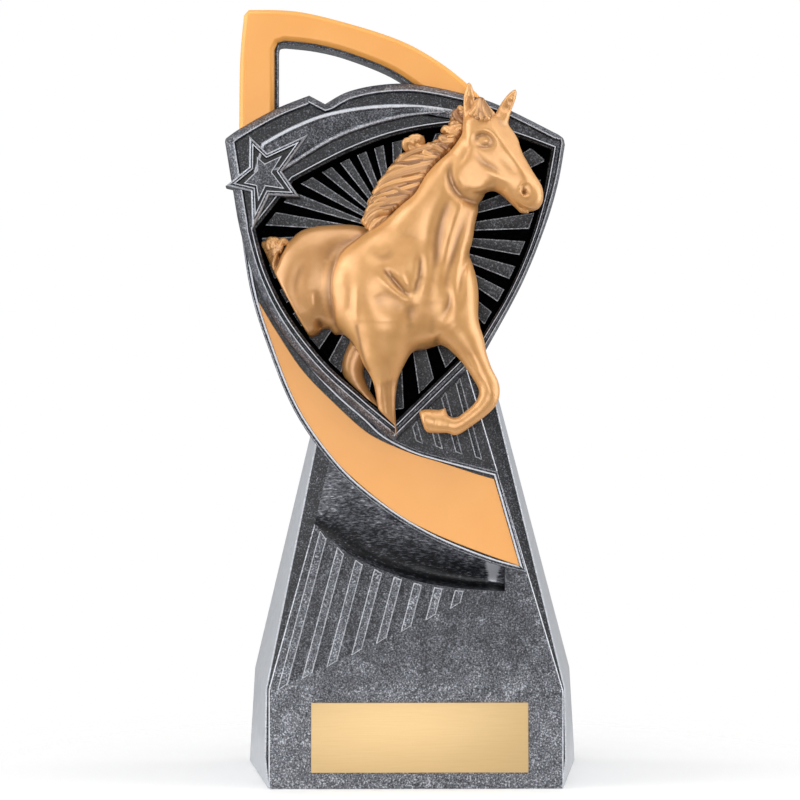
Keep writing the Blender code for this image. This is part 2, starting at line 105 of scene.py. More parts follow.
def cast(piece):
    """A piece of the casting: it stands for the CAD solid and rides where that does."""
    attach(piece, "root")
    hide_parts("trophy_casting")
    return piece


# %% [markdown]
# ## Camera, light and floor
# The photograph is a front view from a little left of the middle, from far enough away to look almost flat.
# Shiny paint shows what is round it, so the light is a white tent: tall soft panels left and right, one
# above, a strong one behind the camera, and a pale floor that runs out of the picture.

# %% Camera
METRES_PER_PIXEL = 0.0002673
PICTURE = 800
SENSOR = 36.0
CAMERA_PLACE = Vector((-0.01545, -0.8997, 0.1271))
CAMERA_AIM = Vector((-0.00422, -0.028, 0.10438))
camera_data = bpy.data.cameras.new("photo_camera")
camera_data.sensor_width = SENSOR
camera_data.lens = SENSOR * (CAMERA_AIM.y - CAMERA_PLACE.y) / (PICTURE * METRES_PER_PIXEL)
camera = placed("photo_camera", camera_data)
camera.location = CAMERA_PLACE
camera.rotation_euler = (CAMERA_AIM - CAMERA_PLACE).to_track_quat("-Z", "Y").to_euler()
bpy.context.scene.camera = camera
print("lens", round(camera_data.lens, 1), "mm")


# %% [markdown]
# ## Helpers for colours and nodes
# Colours are written as the hex codes that a colour picker shows, and one function turns them into the
# linear numbers that a shader takes. One helper adds a node and sets or links its inputs.

# %% Colours and nodes
def rgb(code, alpha=1.0):
    """An sRGB hex colour as the linear numbers that a shader takes."""
    parts = [int(code[i:i + 2], 16) / 255 for i in (1, 3, 5)]
    return (*[p / 12.92 if p <= 0.04045 else ((p + 0.055) / 1.055) ** 2.4 for p in parts], alpha)


def add_node(tree, kind, links=(), **settings):
    """A node with its settings, and its inputs set or linked by name or number."""
    node = tree.nodes.new(kind)
    for key, value in settings.items():
        setattr(node, key, value)
    for key, value in dict(links).items():
        if isinstance(value, bpy.types.NodeSocket):
            tree.links.new(value, node.inputs[key])
        else:
            node.inputs[key].default_value = value
    return node


def ramp(tree, source, stops):
    """A colour ramp from the source, with stops of (place, hex colour)."""
    node = add_node(tree, "ShaderNodeValToRGB", {"Fac": source})
    elements = node.color_ramp.elements
    while len(elements) > 1:
        elements.remove(elements[-1])
    elements[0].position = stops[0][0]
    elements[0].color = rgb(stops[0][1])
    for place, code in stops[1:]:
        elements.new(place).color = rgb(code)
    return node.outputs["Color"]


def object_place(tree):
    return add_node(tree, "ShaderNodeTexCoord").outputs["Object"]


def noise(tree, place, scale, detail=3.0, **more):
    """Noise from 0 to 1, with its scale in waves to the metre."""
    links = {"Vector": place, "Scale": scale, "Detail": detail, **more}
    return add_node(tree, "ShaderNodeTexNoise", links).outputs["Fac"]


# %% [markdown]
# ## Studio light
# The panels are area lights. The tent itself is the world: brighter at the sides and behind the trophy,
# and darker towards the opening where the camera stands, which keeps the front from looking washed out.

# %% Studio light
def soft_panel(name, place, aim, size, power):
    lamp = bpy.data.lights.new(name, "AREA")
    lamp.shape = "RECTANGLE"
    lamp.size, lamp.size_y = size
    lamp.energy = power
    panel = placed(name, lamp)
    panel.location = place
    panel.rotation_euler = (Vector(aim) - Vector(place)).to_track_quat("-Z", "Y").to_euler()


TROPHY_MIDDLE = (0, -0.01, 0.11)
soft_panel("left_panel", (-0.62, -0.12, 0.24), TROPHY_MIDDLE, (0.5, 0.8), 3.9)
soft_panel("right_panel", (0.60, -0.08, 0.22), TROPHY_MIDDLE, (0.5, 0.8), 3.5)
soft_panel("top_panel", (0.0, -0.22, 0.75), TROPHY_MIDDLE, (0.8, 0.5), 2.6)
soft_panel("front_panel", (-0.15, -1.3, 0.16), TROPHY_MIDDLE, (0.7, 0.7), 7.2)

TENT_OPENING = 0.10
TENT_WALL = 0.42
world = bpy.data.worlds.new("white_tent")
world.use_nodes = True
tree = world.node_tree
direction = add_node(tree, "ShaderNodeTexCoord").outputs["Generated"]
towards = add_node(tree, "ShaderNodeSeparateXYZ", {0: direction}).outputs["Y"]
wall = add_node(tree, "ShaderNodeMapRange", {"Value": towards, "From Min": -0.9, "From Max": -0.2,
                                             "To Min": TENT_OPENING, "To Max": TENT_WALL}).outputs["Result"]
seen = add_node(tree, "ShaderNodeLightPath").outputs["Is Camera Ray"]
strength = add_node(tree, "ShaderNodeMapRange",
                    {"Value": seen, "To Min": wall, "To Max": 1.0}).outputs["Result"]
sky = tree.nodes["Background"]
sky.inputs["Color"].default_value = rgb("#FFFFFF")
tree.links.new(strength, sky.inputs["Strength"])
bpy.context.scene.world = world
bpy.context.scene.view_settings.view_transform = "Standard"

# %% [markdown]
# ## Floor
# A white table top. It fades away a hand's breadth from the trophy, so that it has no edge in the picture.

# %% Floor
FLOOR_HALF = 0.45
FADE_START = 0.05
FADE_END = 0.16
floor = finished_mesh("pale_floor", [(-1, -1, 0), (1, -1, 0), (1, 1, 0), (-1, 1, 0)], [(0, 1, 2, 3)],
                      bpy.data.materials.new("white_table_laminate"), place=Matrix.Scale(FLOOR_HALF, 4),
                      close=False)
floor_finish = floor.data.materials[0]
floor_finish.use_nodes = True
tree = floor_finish.node_tree
floor_shader = tree.nodes["Principled BSDF"]
floor_shader.inputs["Base Color"].default_value = rgb("#FFFFFF")
floor_shader.inputs["Roughness"].default_value = 0.6
place = object_place(tree)
away = add_node(tree, "ShaderNodeVectorMath", {0: place}, operation="LENGTH").outputs["Value"]
fade = add_node(tree, "ShaderNodeMapRange", {"Value": away, "From Min": FADE_START, "From Max": FADE_END},
                interpolation_type="SMOOTHSTEP").outputs["Result"]
clear = add_node(tree, "ShaderNodeBsdfTransparent").outputs[0]
faded = add_node(tree, "ShaderNodeMixShader", {0: fade, 1: floor_shader.outputs[0], 2: clear}).outputs[0]
tree.links.new(faded, tree.nodes["Material Output"].inputs["Surface"])

# %% [markdown]
# ## Antique silver
# Resin painted with grey metal paint, then with a dark wash that is wiped off before it dries. What the
# cloth reaches is left bright, what it can't reach stays black, and the flats keep a fine speckle of both.
# Each vertex says how rubbed it is in an attribute of wear and shading: 1 for a bright edge, 0 for a speckled
# flat, -1 for a black recess; in the hollow under the band and on the wall of the panel it also carries
# painted shade, and in the hollow a painted highlight. The speckle is noise at the size of the real grain,
# 0.4 mm, and wider noise moves it from darker to lighter over a few millimetres. The front of the plinth is
# darker towards the top.
# The pairs in brackets below are a slope and a start: how fast a tone comes in with wear or with grain.

# %% Antique silver
GRAIN = 0.00044
BLOTCH = 0.004
BLOTCH_SHARE = 0.25
WEAR_SHARE = 0.13
LOW, ALOFT = 0.02, 0.10
RUBBED_BY_WEAR, RUBBED_BY_GRAIN = (1.5, -0.5), (1.2, -0.6)
WASHED_BY_WEAR, WASHED_BY_GRAIN = (-2.0, -1.0), (-4.0, 2.0)


def new_finish(name, roughness, metallic):
    made = bpy.data.materials.new(name)
    made.use_nodes = True
    shader = made.node_tree.nodes["Principled BSDF"]
    shader.inputs["Roughness"].default_value = roughness
    shader.inputs["Metallic"].default_value = metallic
    return made, made.node_tree, shader


def math_node(tree, operation, *values):
    return add_node(tree, "ShaderNodeMath", dict(enumerate(values)), operation=operation).outputs[0]


def blend_colours(tree, share, a, b):
    node = add_node(tree, "ShaderNodeMix", {0: share, 6: a, 7: b}, data_type="RGBA", clamp_factor=True)
    return node.outputs[2]


def bumped(tree, shader, height, strength, distance):
    """Links a bump of the given height, in metres, to the shader."""
    node = add_node(tree, "ShaderNodeBump", {"Height": height, "Strength": strength, "Distance": distance})
    tree.links.new(node.outputs["Normal"], shader.inputs["Normal"])


SPECKLED = ((0.38, "#0E0F14"), (0.46, "#393B42"), (0.53, "#595B62"), (0.60, "#686A71"), (0.67, "#ADB0B7"))
SMOOTH = ((0.30, "#9A9DA3"), (0.50, "#AEB1B6"), (0.70, "#BDC0C5"))


def antique_silver(name, wear_and_shading=0.0, tones=SPECKLED, stretch=(1, 1, 1), aloft=0.0):
    """The silver with its own starting wear, its tones from dark to light, and how much lighter or darker it
    gets towards the top.
    """
    made, tree, shader = new_finish(name, 0.42, 0.3)
    place = object_place(tree)
    drawn = add_node(tree, "ShaderNodeMapping", {"Vector": place, "Scale": stretch}).outputs["Vector"]
    grain = noise(tree, drawn, 1 / GRAIN, Roughness=0.7)
    blotch = noise(tree, place, 1 / BLOTCH, Roughness=0.6)
    given = add_node(tree, "ShaderNodeAttribute", attribute_name="wear_and_shading").outputs["Fac"]
    height = add_node(tree, "ShaderNodeSeparateXYZ", {0: place}).outputs["Z"]
    gained = add_node(tree, "ShaderNodeMapRange", {"Value": height, "From Min": LOW, "From Max": ALOFT,
                                                   "To Min": wear_and_shading, "To Max": wear_and_shading + aloft}).outputs["Result"]
    # This total also carries the painted shade and painted highlight that some pieces put into their wear
    # attribute; the mixes below turn them into black and into bright silver.
    worn_and_shaded = math_node(tree, "ADD", given, gained)
    level = math_node(tree, "MULTIPLY_ADD", blotch, BLOTCH_SHARE, -BLOTCH_SHARE / 2)
    level = math_node(tree, "ADD", grain, level)
    level = math_node(tree, "MULTIPLY_ADD", worn_and_shaded, WEAR_SHARE, level)
    speckle = ramp(tree, level, tones)
    patchy = math_node(tree, "MULTIPLY_ADD", grain, *RUBBED_BY_GRAIN)
    rubbed = math_node(tree, "ADD", math_node(tree, "MULTIPLY_ADD", worn_and_shaded, *RUBBED_BY_WEAR), patchy)
    shown = blend_colours(tree, rubbed, speckle, rgb("#C6C9D0"))
    specks = math_node(tree, "MULTIPLY_ADD", grain, *WASHED_BY_GRAIN)
    washed = math_node(tree, "ADD", math_node(tree, "MULTIPLY_ADD", worn_and_shaded, *WASHED_BY_WEAR), specks)
    shown = blend_colours(tree, washed, shown, rgb("#08090C"))
    tree.links.new(shown, shader.inputs["Base Color"])
    bumped(tree, shader, grain, 0.3, 0.00012)
    return made


SILVER = antique_silver("antique_silver_speckled")
SIDE_SILVER = antique_silver("antique_silver_smooth", 0.0, SMOOTH, (1, 1, 0.12))
FRONT_SILVER = antique_silver("antique_silver_front", 0.25, aloft=-1.05)
PLATE_SILVER = antique_silver("antique_silver_dark", -0.75)
COVE_SILVER = antique_silver("antique_silver_washed", -0.2, stretch=(0.3, 1, 1))
RUBBED_SILVER = antique_silver("antique_silver_rubbed", 0.8)
BLACK_WASH, tree, shader = new_finish("black_wash_pool", 0.75, 0.0)
dust = noise(tree, object_place(tree), 1 / GRAIN)
tree.links.new(ramp(tree, dust, [(0.5, "#020203"), (0.8, "#121317")]), shader.inputs["Base Color"])
shader.inputs["Specular IOR Level"].default_value = 0.0

# %% [markdown]
# ## Two paints and a plate
# The band is sprayed with satin acrylic: flat, even and warm orange. The horse has a metallic gold paint,
# with painted shade that turns it dark brown in its folds and hollows. The plate is printed or anodised
# aluminium with a satin face. A whole number, such as roughness, stays on the shader's own socket.

# %% Paint and plate
orange_paint, tree, shader = new_finish("satin_orange_acrylic", 0.38, 0.0)
place = object_place(tree)
cloud = noise(tree, place, 60.0, 2.0)
tree.links.new(ramp(tree, cloud, [(0.3, "#EDA24B"), (0.7, "#F1AA56")]), shader.inputs["Base Color"])
peel = noise(tree, place, 1200.0, 2.0)
bumped(tree, shader, peel, 0.12, 0.0001)

horse_paint, tree, shader = new_finish("satin_gold_metallic_paint", 0.38, 0.25)
shader.inputs["Specular IOR Level"].default_value = 1.0
place = object_place(tree)
# Painted shade: this attribute mixes the gold towards dark brown in hollows and creases; on the locks it also
# gives each lock a tone of its own.
painted_shade_and_tone = add_node(tree, "ShaderNodeAttribute", attribute_name="painted_shade_and_tone").outputs["Fac"]
cloud = noise(tree, place, 250.0)
plain = ramp(tree, cloud, [(0.3, "#D39959"), (0.7, "#DEA666")])
shown = blend_colours(tree, painted_shade_and_tone, plain, rgb("#7A4A20"))
tree.links.new(shown, shader.inputs["Base Color"])
pits = noise(tree, place, 2500.0, 2.0)
bumped(tree, shader, pits, 0.15, 0.00008)

plate_finish, tree, shader = new_finish("satin_gold_anodised_aluminium", 0.42, 0.35)
place = object_place(tree)
drawn = add_node(tree, "ShaderNodeMapping", {"Vector": place, "Scale": (0.02, 1, 1)}).outputs["Vector"]
brush = noise(tree, drawn, 6000.0)
tree.links.new(ramp(tree, brush, [(0.3, "#C6A673"), (0.7, "#CBAD7B")]), shader.inputs["Base Color"])
bumped(tree, shader, brush, 0.08, 0.00004)


# %% [markdown]
# ## Outlines
# Each flat piece of the front starts as an outline: runs of smooth curve that meet at corners. The curves
# pass through every point that is given, which makes them easy to draw over a photograph of the object.

# %% Smooth outlines
def on_curve(before, start, end, after, t):
    """A point of the smooth curve from start to end, whose slopes follow the points on either side."""
    pull = (end - before) * 0.5
    push = (after - start) * 0.5
    return ((2 * t ** 3 - 3 * t ** 2 + 1) * start + (t ** 3 - 2 * t ** 2 + t) * pull
            + (3 * t ** 2 - 2 * t ** 3) * end + (t ** 3 - t ** 2) * push)


def smooth_run(points, steps, last=False):
    """A smooth curve through all the points; the last one is left for the run that follows."""
    places = np.array(points, float)
    if len(places) == 2 and not last:
        return [places[0]]
    result = []
    for i in range(len(places) - 1):
        before = places[max(i - 1, 0)]
        after = places[min(i + 2, len(places) - 1)]
        result += [on_curve(before, places[i], places[i + 1], after, step / steps) for step in range(steps)]
    return result + [places[-1]] * last


def outline(*runs, steps=6):
    """A closed outline of smooth runs that meet at corners, each starting where the last one ended."""
    return np.array([place for run in runs for place in smooth_run(run, steps)])


def nearest_on(points, line, closed=True):
    """How far each point is from a line of points, and how far along the line its nearest place is."""
    best, where = np.full(len(points), np.inf), np.zeros(len(points))
    ends = np.roll(line, -1, 0) if closed else line[1:]
    for number, (start, end) in enumerate(zip(line, ends)):
        side = end - start
        away = points - start
        along = np.clip(away @ side / max(side @ side, 1e-12), 0, 1)
        gap = np.hypot(*(away - along[:, None] * side).T)
        where = np.where(gap < best, number + along, where)
        best = np.minimum(best, gap)
    return best, where / len(ends)


def distance_to(points, line, closed=True):
    return nearest_on(points, line, closed)[0]


def turn_of(points):
    """1 for an outline that runs anticlockwise, -1 for the other way."""
    x, y = points.T
    return 1 if (x * np.roll(y, -1) - y * np.roll(x, -1)).sum() > 0 else -1


def unit(ways):
    return ways / np.maximum(np.linalg.norm(ways, axis=1, keepdims=True), 1e-9)


HELD_SHARE = 0.92
FREE_SHARE = 0.96
INSET_TRIALS = 9


def inset(points, distance):
    """The outline moved inwards, with how far each point got: where the shape is too narrow, it stops."""
    before = unit(points - np.roll(points, 1, 0))
    after = unit(np.roll(points, -1, 0) - points)
    turn = turn_of(points)
    normal = np.stack([-after[:, 1], after[:, 0]], 1) * turn
    inward = unit(np.stack([-(before + after)[:, 1], (before + after)[:, 0]], 1) * turn)
    lean = np.maximum((inward * normal).sum(1), 0.2)
    way = inward / lean[:, None]
    if distance <= 0:
        return points + way * distance, np.full(len(points), distance)
    low, high = np.zeros(len(points)), np.ones(len(points))
    for trial in range(INSET_TRIALS):
        middle = (low + high) / 2 if trial else high
        moved = points + way * (distance * middle)[:, None]
        free = distance_to(moved, points) >= FREE_SHARE * distance * middle
        low = np.where(free, middle, low)
        high = np.where(free, high, middle)
    low = np.where(low < 1, low * HELD_SHARE, low)
    return points + way * (distance * low)[:, None], distance * low


# %% [markdown]
# ## Raised pieces
# A raised piece is a stack of rings: the outline, moved in a little further at each step and set to a new
# height, with its wear. That gives walls, beads, ridges and grooves from one list of three numbers a row.

# %% Stacks of rings
RIDGE_INSET = 1.3


def rings_of(points, profile, share=None, extra=None):
    """Rings of the outline for each (inset, height, wear), as places and wear.

    Share narrows all of them, and extra widens the slope below the ridge, each point by its own amount."""
    depths, heights, wears = (np.array(column, float) for column in zip(*profile))
    rings = []
    for depth, height, wear_and_shading in profile:
        ring, got = inset(points, depth)
        held = got < depth - 1e-6
        if extra is not None and depth > 0:
            ring = points + (ring - points) * (1 + extra * min(1, depth / RIDGE_INSET) / depth)[:, None]
        if share is not None:
            ring = points + (ring - points) * share[:, None]
        z = np.where(held, np.interp(got, depths, heights), height)
        rubbed = np.where(held, np.interp(got, depths, wears), wear_and_shading)
        rings.append((np.column_stack([ring, z]), rubbed))
    return rings


def walls(rings, first=0):
    """Faces between rings that have the same number of points."""
    count = len(rings[0][0])
    faces = []
    for r in range(len(rings) - 1):
        low, high = first + r * count, first + (r + 1) * count
        faces += [(low + i, low + (i + 1) % count, high + (i + 1) % count, high + i) for i in range(count)]
    return faces


def filled_between(*loops):
    """Triangles between closed loops in one plane, the first round the others, as numbers of the points."""
    shape = bmesh.new()
    edges = []
    for loop in loops:
        verts = [shape.verts.new(place) for place in loop]
        edges += [shape.edges.new((verts[i - 1], verts[i])) for i in range(len(verts))]
    shape.verts.index_update()
    bmesh.ops.triangle_fill(shape, use_beauty=True, edges=edges)
    faces = [tuple(v.index for v in face.verts) for face in shape.faces]
    shape.free()
    return faces


FLAT_EDGE = 0.15


def raised(name, points, profile, material, darker=0, share=None):
    """A closed piece: a flat back at the first ring, and a flat top just inside the last."""
    last_inset, top_height, top_wear = profile[-1]
    rings = rings_of(points, [*profile, (last_inset + FLAT_EDGE, top_height, top_wear)], share)
    count = len(points)
    faces = walls(rings) + [tuple(range(count - 1, -1, -1))]
    top = count * (len(rings) - 1)
    faces.append(tuple(range(top, top + count)))
    places = np.concatenate([ring for ring, _ in rings])
    wear_and_shading = np.concatenate([rubbed - darker for _, rubbed in rings])
    return cast(finished_mesh(name, places, faces, material, {"wear_and_shading": wear_and_shading}))


# %% [markdown]
# ## The outlines of the shield, its panel, the trail, the star and the band
# These are the same curves as in the part's source, in millimetres on the leaning face.

# %% Outlines on the face
RAIL_FOOT = (39.6, 26.0)
RAIL_TOP = (13.6, 113.4)


def rail_x(y):
    share = (y - RAIL_FOOT[1]) / (RAIL_TOP[1] - RAIL_FOOT[1])
    return RAIL_FOOT[0] + share * (RAIL_TOP[0] - RAIL_FOOT[0])


band_outline = outline(
    [(29.9, 57.6), (18.3, 60.9), (2.7, 67.5), (-10.9, 76.2), (-22, 86.3), (-32.7, 101.5), (-40.2, 120),
     (-44.4, 134), (-46.9, 150)],
    [(-46.9, 150), (-44.9, 149)],
    [(-44.9, 149), (-42, 139), (-38.8, 131), (-30, 116.8), (-21.3, 107), (-13, 99.6), (-8, 95), (-0.7, 91.2),
     (6.6, 88.9), (rail_x(84.8), 84.8)],
    [(rail_x(84.8), 84.8), (29.9, 57.6)])
loop_outline = outline(
    [(-47.2, 168), (-47.2, 178), (-46.9, 196), (-45.9, 207.9)],
    [(-45.9, 207.9), (-44.9, 209.1)],
    [(-44.9, 209.1), (-32, 208.7), (-18.2, 205.5), (-4.4, 201), (5.3, 195.8), (13.2, 189.8), (19, 184)],
    [(19, 184), (13.5, 180)],
    [(13.5, 180), (4, 185)],
    [(4, 185), (-6.2, 192), (-18.2, 196.9), (-27, 199.1), (-35, 200)],
    [(-35, 200), (-36.5, 199.7), (-36.8, 198.2)],
    [(-36.8, 198.2), (-36.8, 168)],
    [(-36.8, 168), (-47.2, 168)])
shield_outline = outline(
    [(-51.1, 173.4), (-50.9, 174.2), (-50.2, 174.8)],
    [(-50.2, 174.8), (-47, 177), (-37.7, 182.2), (-28.5, 185.9)],
    [(-28.5, 185.9), (-24.2, 183.6)],
    [(-24.2, 183.6), (-18.2, 186.9), (-9.6, 188.8), (0, 189), (12.4, 186.6), (22.7, 183.3), (38.6, 175.4)],
    [(38.6, 175.4), (39.9, 174.3), (40.3, 172.6)],
    [(40.3, 172.6), (38.4, 162.1), (34.9, 150.4), (28.5, 134.8), (18.8, 117)],
    [(18.8, 117), (-5.8, 92.8)],
    [(-5.8, 92.8), (-14.3, 99.7), (-26.1, 110.3), (-35.2, 121), (-42.2, 133.9), (-46.8, 148.7),
     (-48.9, 160), (-51.1, 173.4)])
panel_outline = outline(
    [(-5.7, 96.6), (18, 120)],
    [(18, 120), (25.3, 132.4), (31.2, 145.9), (34.9, 158.5), (37.4, 171.6)],
    [(37.4, 171.6), (28.6, 174.9), (20.1, 177.4), (10.7, 178.4), (-4.5, 176), (-18, 171.2), (-33.1, 163.4)],
    [(-33.1, 163.4), (-43.8, 149.8)],
    [(-43.8, 149.8), (-40.7, 138.4), (-34.6, 126.1), (-25, 113.6), (-15, 104.4), (-5.7, 96.6)])
trail_outline = outline(
    [(-41.5, 172.8), (-33.1, 177.4), (-22.9, 181.2), (-9, 183.3), (3.9, 182.8), (19, 179.6)],
    [(19, 179.6), (10.7, 180.8), (-4.1, 179), (-20.2, 173.9), (-35, 165)],
    [(-35, 165), (-44, 164)],
    [(-44, 164), (-41.5, 172.8)])


def star(tips, notches):
    return np.array([place for pair in zip(tips, notches) for place in pair], float)


star_outline = star([(-44.5, 174.6), (-28.2, 175.2), (-30.9, 158), (-43.7, 148.8), (-50.8, 161)],
                    [(-39.6, 169.9), (-35.6, 164.8), (-39, 158.4), (-44.1, 159.4), (-44.6, 166.1)])
inner_star = star([(-42.5, 169), (-35.5, 169.2), (-34.8, 160), (-42, 156.6), (-46, 161.6)],
                  [(-40.3, 167), (-38.3, 164.6), (-40, 160.8), (-42.6, 160.9), (-42.3, 165.2)])
print("band", len(band_outline), "shield", len(shield_outline), "panel", len(panel_outline))

# %% [markdown]
# ## Plinth
# The plinth is the hull of its foot, its knee and its top, with a raised slab on the front and a hollow
# scooped out under the band. A boolean cuts the hollow, since a sharp ledge runs right across both.
# The edges of the hull are bevelled first, and the bevel takes the rubbed finish.

# %% Hull, slab and cove
LEVEL_BACK = -8.0
PANEL_FLOOR = -1.0
BODY_SINK = 1.2
FOOT = {"front": 40.4, "back": 46.2, "tuck": 0.8, "tuck_height": 8.0}
KNEE = {"height": 26.6, "front": 40.1, "back": 44.6, "taper": 1.0}
TOP = {"y": 148.0, "left": -15.5, "right": 11.0, "thickness": 12.0}
EDGE_WIDTH = 0.0004
LEDGE = [(-38, 76), (-32, 73.5), (-27, 70.6), (-17.5, 62.5), (-4.2, 56.7), (9, 53.8), (24, 52.7)]
COVE_TOP = [(-38, 112), (-29, 96.5), (-17, 83), (-4, 73), (8, 67.2), (17, 63.7), (24, 61.4)]
COVE_DEPTHS = (1.15, 1.15, 1.15, 4.2, 6.2, 6.6, 6.2)
COVE_STEPS = 6
LEDGE_LINE, COVE_LINE = (np.array(smooth_run(line, COVE_STEPS, last=True)) for line in (LEDGE, COVE_TOP))


def front_at_height(x, height, z):
    """The place on the leaning face that is z out of it and as high above the ground as asked."""
    y = (height - z * math.sin(LEAN)) / math.cos(LEAN)
    return FACE @ Vector((x, y, z))


def applied(thing):
    """The object with its modifiers made real, as a new mesh."""
    mesh = bpy.data.meshes.new_from_object(thing.evaluated_get(bpy.context.evaluated_depsgraph_get()))
    thing.modifiers.clear()
    thing.data = mesh
    return thing


def boolean(body, tool, operation):
    step = body.modifiers.new(operation, "BOOLEAN")
    step.operation = operation
    step.material_mode = "TRANSFER"
    step.object = tool
    applied(body)
    bpy.data.objects.remove(tool)


def plinth_hull():
    back = BASE_DEPTH / 2
    places = [FACE @ Vector((x, TOP["y"], z)) for x in (TOP["left"], TOP["right"])
              for z in (-BODY_SINK, -TOP["thickness"])]
    for side in (-1, 1):
        places += [front_at_height(side * (FOOT["front"] - FOOT["tuck"]), 0, -BODY_SINK),
                   front_at_height(side * FOOT["front"], FOOT["tuck_height"], -BODY_SINK),
                   front_at_height(side * KNEE["front"], KNEE["height"], -BODY_SINK),
                   Vector((side * FOOT["back"] * UNIT, back, 0)),
                   Vector((side * KNEE["back"] * UNIT, back - KNEE["taper"] * UNIT, KNEE["height"] * UNIT))]
    shape = bmesh.new()
    for place in places:
        shape.verts.new(place)
    bmesh.ops.convex_hull(shape, input=shape.verts)
    bmesh.ops.dissolve_limit(shape, angle_limit=0.02, verts=shape.verts, edges=shape.edges)
    mesh = bpy.data.meshes.new("plinth")
    shape.to_mesh(mesh)
    shape.free()
    finishes = (SIDE_SILVER, RUBBED_SILVER, FRONT_SILVER, COVE_SILVER, PLATE_SILVER)
    for finish in finishes:
        mesh.materials.append(finish)
    facing = FACE_TURN.to_3x3() @ Vector((0, 0, 1))
    for face in mesh.polygons:
        if face.normal @ facing > 0.95:
            face.material_index = finishes.index(PLATE_SILVER)
    made = placed("plinth", mesh)
    edges = made.modifiers.new("rounded edges", "BEVEL")
    edges.width = EDGE_WIDTH
    edges.segments = 3
    edges.material = finishes.index(RUBBED_SILVER)
    return applied(made)


def cove_tool():
    """The hollow: a wall at the ledge, deepest just above it, then rising to the band."""
    section = [(0, 3, 0), (0, 0.6, 0)]
    for along, down in smooth_run([(0.0, 0.35), (0.05, 0.62), (0.14, 0.9), (0.28, 1.0), (0.55, 0.8),
                                   (0.8, 0.42), (1.0, 0.12)], 3, last=True):
        section.append((along, 0, down))
    section.append((1.0, 3, 0))
    deep = np.interp(np.arange(len(LEDGE_LINE)) / COVE_STEPS, range(len(COVE_DEPTHS)), COVE_DEPTHS)
    places = [(*(start + (end - start) * along), out - down * depth)
              for start, end, depth in zip(LEDGE_LINE, COVE_LINE, deep) for along, out, down in section]
    n = len(section)
    faces = [(r * n + i, r * n + (i + 1) % n, (r + 1) * n + (i + 1) % n, (r + 1) * n + i)
             for r in range(len(deep) - 1) for i in range(n)]
    faces += [tuple(range(n)), tuple(range((len(deep) - 1) * n, len(deep) * n))]
    return finished_mesh("cove", places, faces, COVE_SILVER)


def slab_tool(name, points, low, high, material, edge=0.3):
    """A flat block with a small rubbed edge round its front."""
    rings = rings_of(np.array(points, float), [(0, low, 0), (0, high - edge, 0), (edge, high, 0)])
    count = len(points)
    faces = walls(rings) + [tuple(range(count - 1, -1, -1)), tuple(range(2 * count, 3 * count))]
    made = finished_mesh(name, np.concatenate([ring for ring, _ in rings]), faces, material,
                         extra=(RUBBED_SILVER,))
    for face in made.data.polygons[count:2 * count]:
        face.material_index = 1
    return made


plinth = plinth_hull()
SLAB = [(-39.3, -3), (39.5, -3), RAIL_FOOT, RAIL_TOP, (-14, 112), (-22, 92), (-27, 71),
        (-39.3, KNEE["height"])]
boolean(plinth, slab_tool("front_slab", SLAB, -BODY_SINK - 0.6, 0, FRONT_SILVER), "UNION")
boolean(plinth, cove_tool(), "DIFFERENCE")
POCKET = [(-9, 94.6), (6.6, 89.4), (rail_x(85.6) - 1.1, 85.6), (rail_x(114) - 1.1, 114), (4, 118)]
boolean(plinth, slab_tool("pocket", POCKET, -1.1, 3, PLATE_SILVER, 0.01), "DIFFERENCE")
room = inset(panel_outline, -0.6)[0]
boolean(plinth, slab_tool("panel_clearance", room, PANEL_FLOOR - 0.4, 12, PLATE_SILVER, 0.01), "DIFFERENCE")
ground = bpy.data.meshes.new("ground")
shape = bmesh.new()
bmesh.ops.create_cube(shape, size=2 * BASE_DEPTH, matrix=Matrix.Translation((0, 0, -BASE_DEPTH)))
shape.to_mesh(ground)
shape.free()
boolean(plinth, placed("ground", ground), "DIFFERENCE")
plinth.data.shade_smooth()
plinth.data.set_sharp_from_angle(angle=SHARP)

to_drawing = FACE.inverted()
drawn = np.array([to_drawing @ vertex.co for vertex in plinth.data.vertices])
from_ledge = distance_to(drawn[:, :2], LEDGE_LINE, False)
from_band = distance_to(drawn[:, :2], COVE_LINE, False)
share = from_ledge / (from_ledge + from_band + 1e-9)
# Painted shade over the wash in the cove: darkest in a narrow band just above the ledge, where the undercut
# lies in shade, and paler up towards the band.
shaded_share = np.interp(drawn[:, 0], (-30, -24, -16, 8, 24), (0.03, 0.07, 0.17, 0.22, 0.16))
cove_wash_and_painted_light = np.interp(share / shaded_share, (0, 0.25, 0.5, 1, 1.8, 4), (-0.3, -0.4, -0.8, -0.75, -0.5, 0.2))
# Painted highlight: a bright patch near the right end of the cove, where the scoop catches the light.
LIT_PATCH_X, LIT_PATCH_HALF, LIT_PATCH_GAIN = 20.9, 1.5, 2.3
cove_wash_and_painted_light += LIT_PATCH_GAIN * np.exp(-((drawn[:, 0] - LIT_PATCH_X) / LIT_PATCH_HALF) ** 2) * (share > 0.25)
in_cove = np.zeros(len(drawn), bool)
for face in plinth.data.polygons:
    finish = plinth.data.materials[face.material_index]
    in_cove[list(face.vertices)] |= finish == COVE_SILVER
cove_wash_and_painted_light = np.where(in_cove, cove_wash_and_painted_light, 0)
plinth.data.attributes.new("wear_and_shading", "FLOAT", "POINT").data.foreach_set("value", cove_wash_and_painted_light.astype(np.float32))
cast(plinth)
print("plinth", len(plinth.data.polygons), "faces", [m.name for m in plinth.data.materials])

# %% [markdown]
# ## Band
# A bead runs along each edge of the crescent, a fine line outside a wider one, with the wash left black
# between them. The paint lies inside the beads as a thin skin. On the loop at the top it covers the
# rounded outer edge as well, and stops at the silver edge of the window.

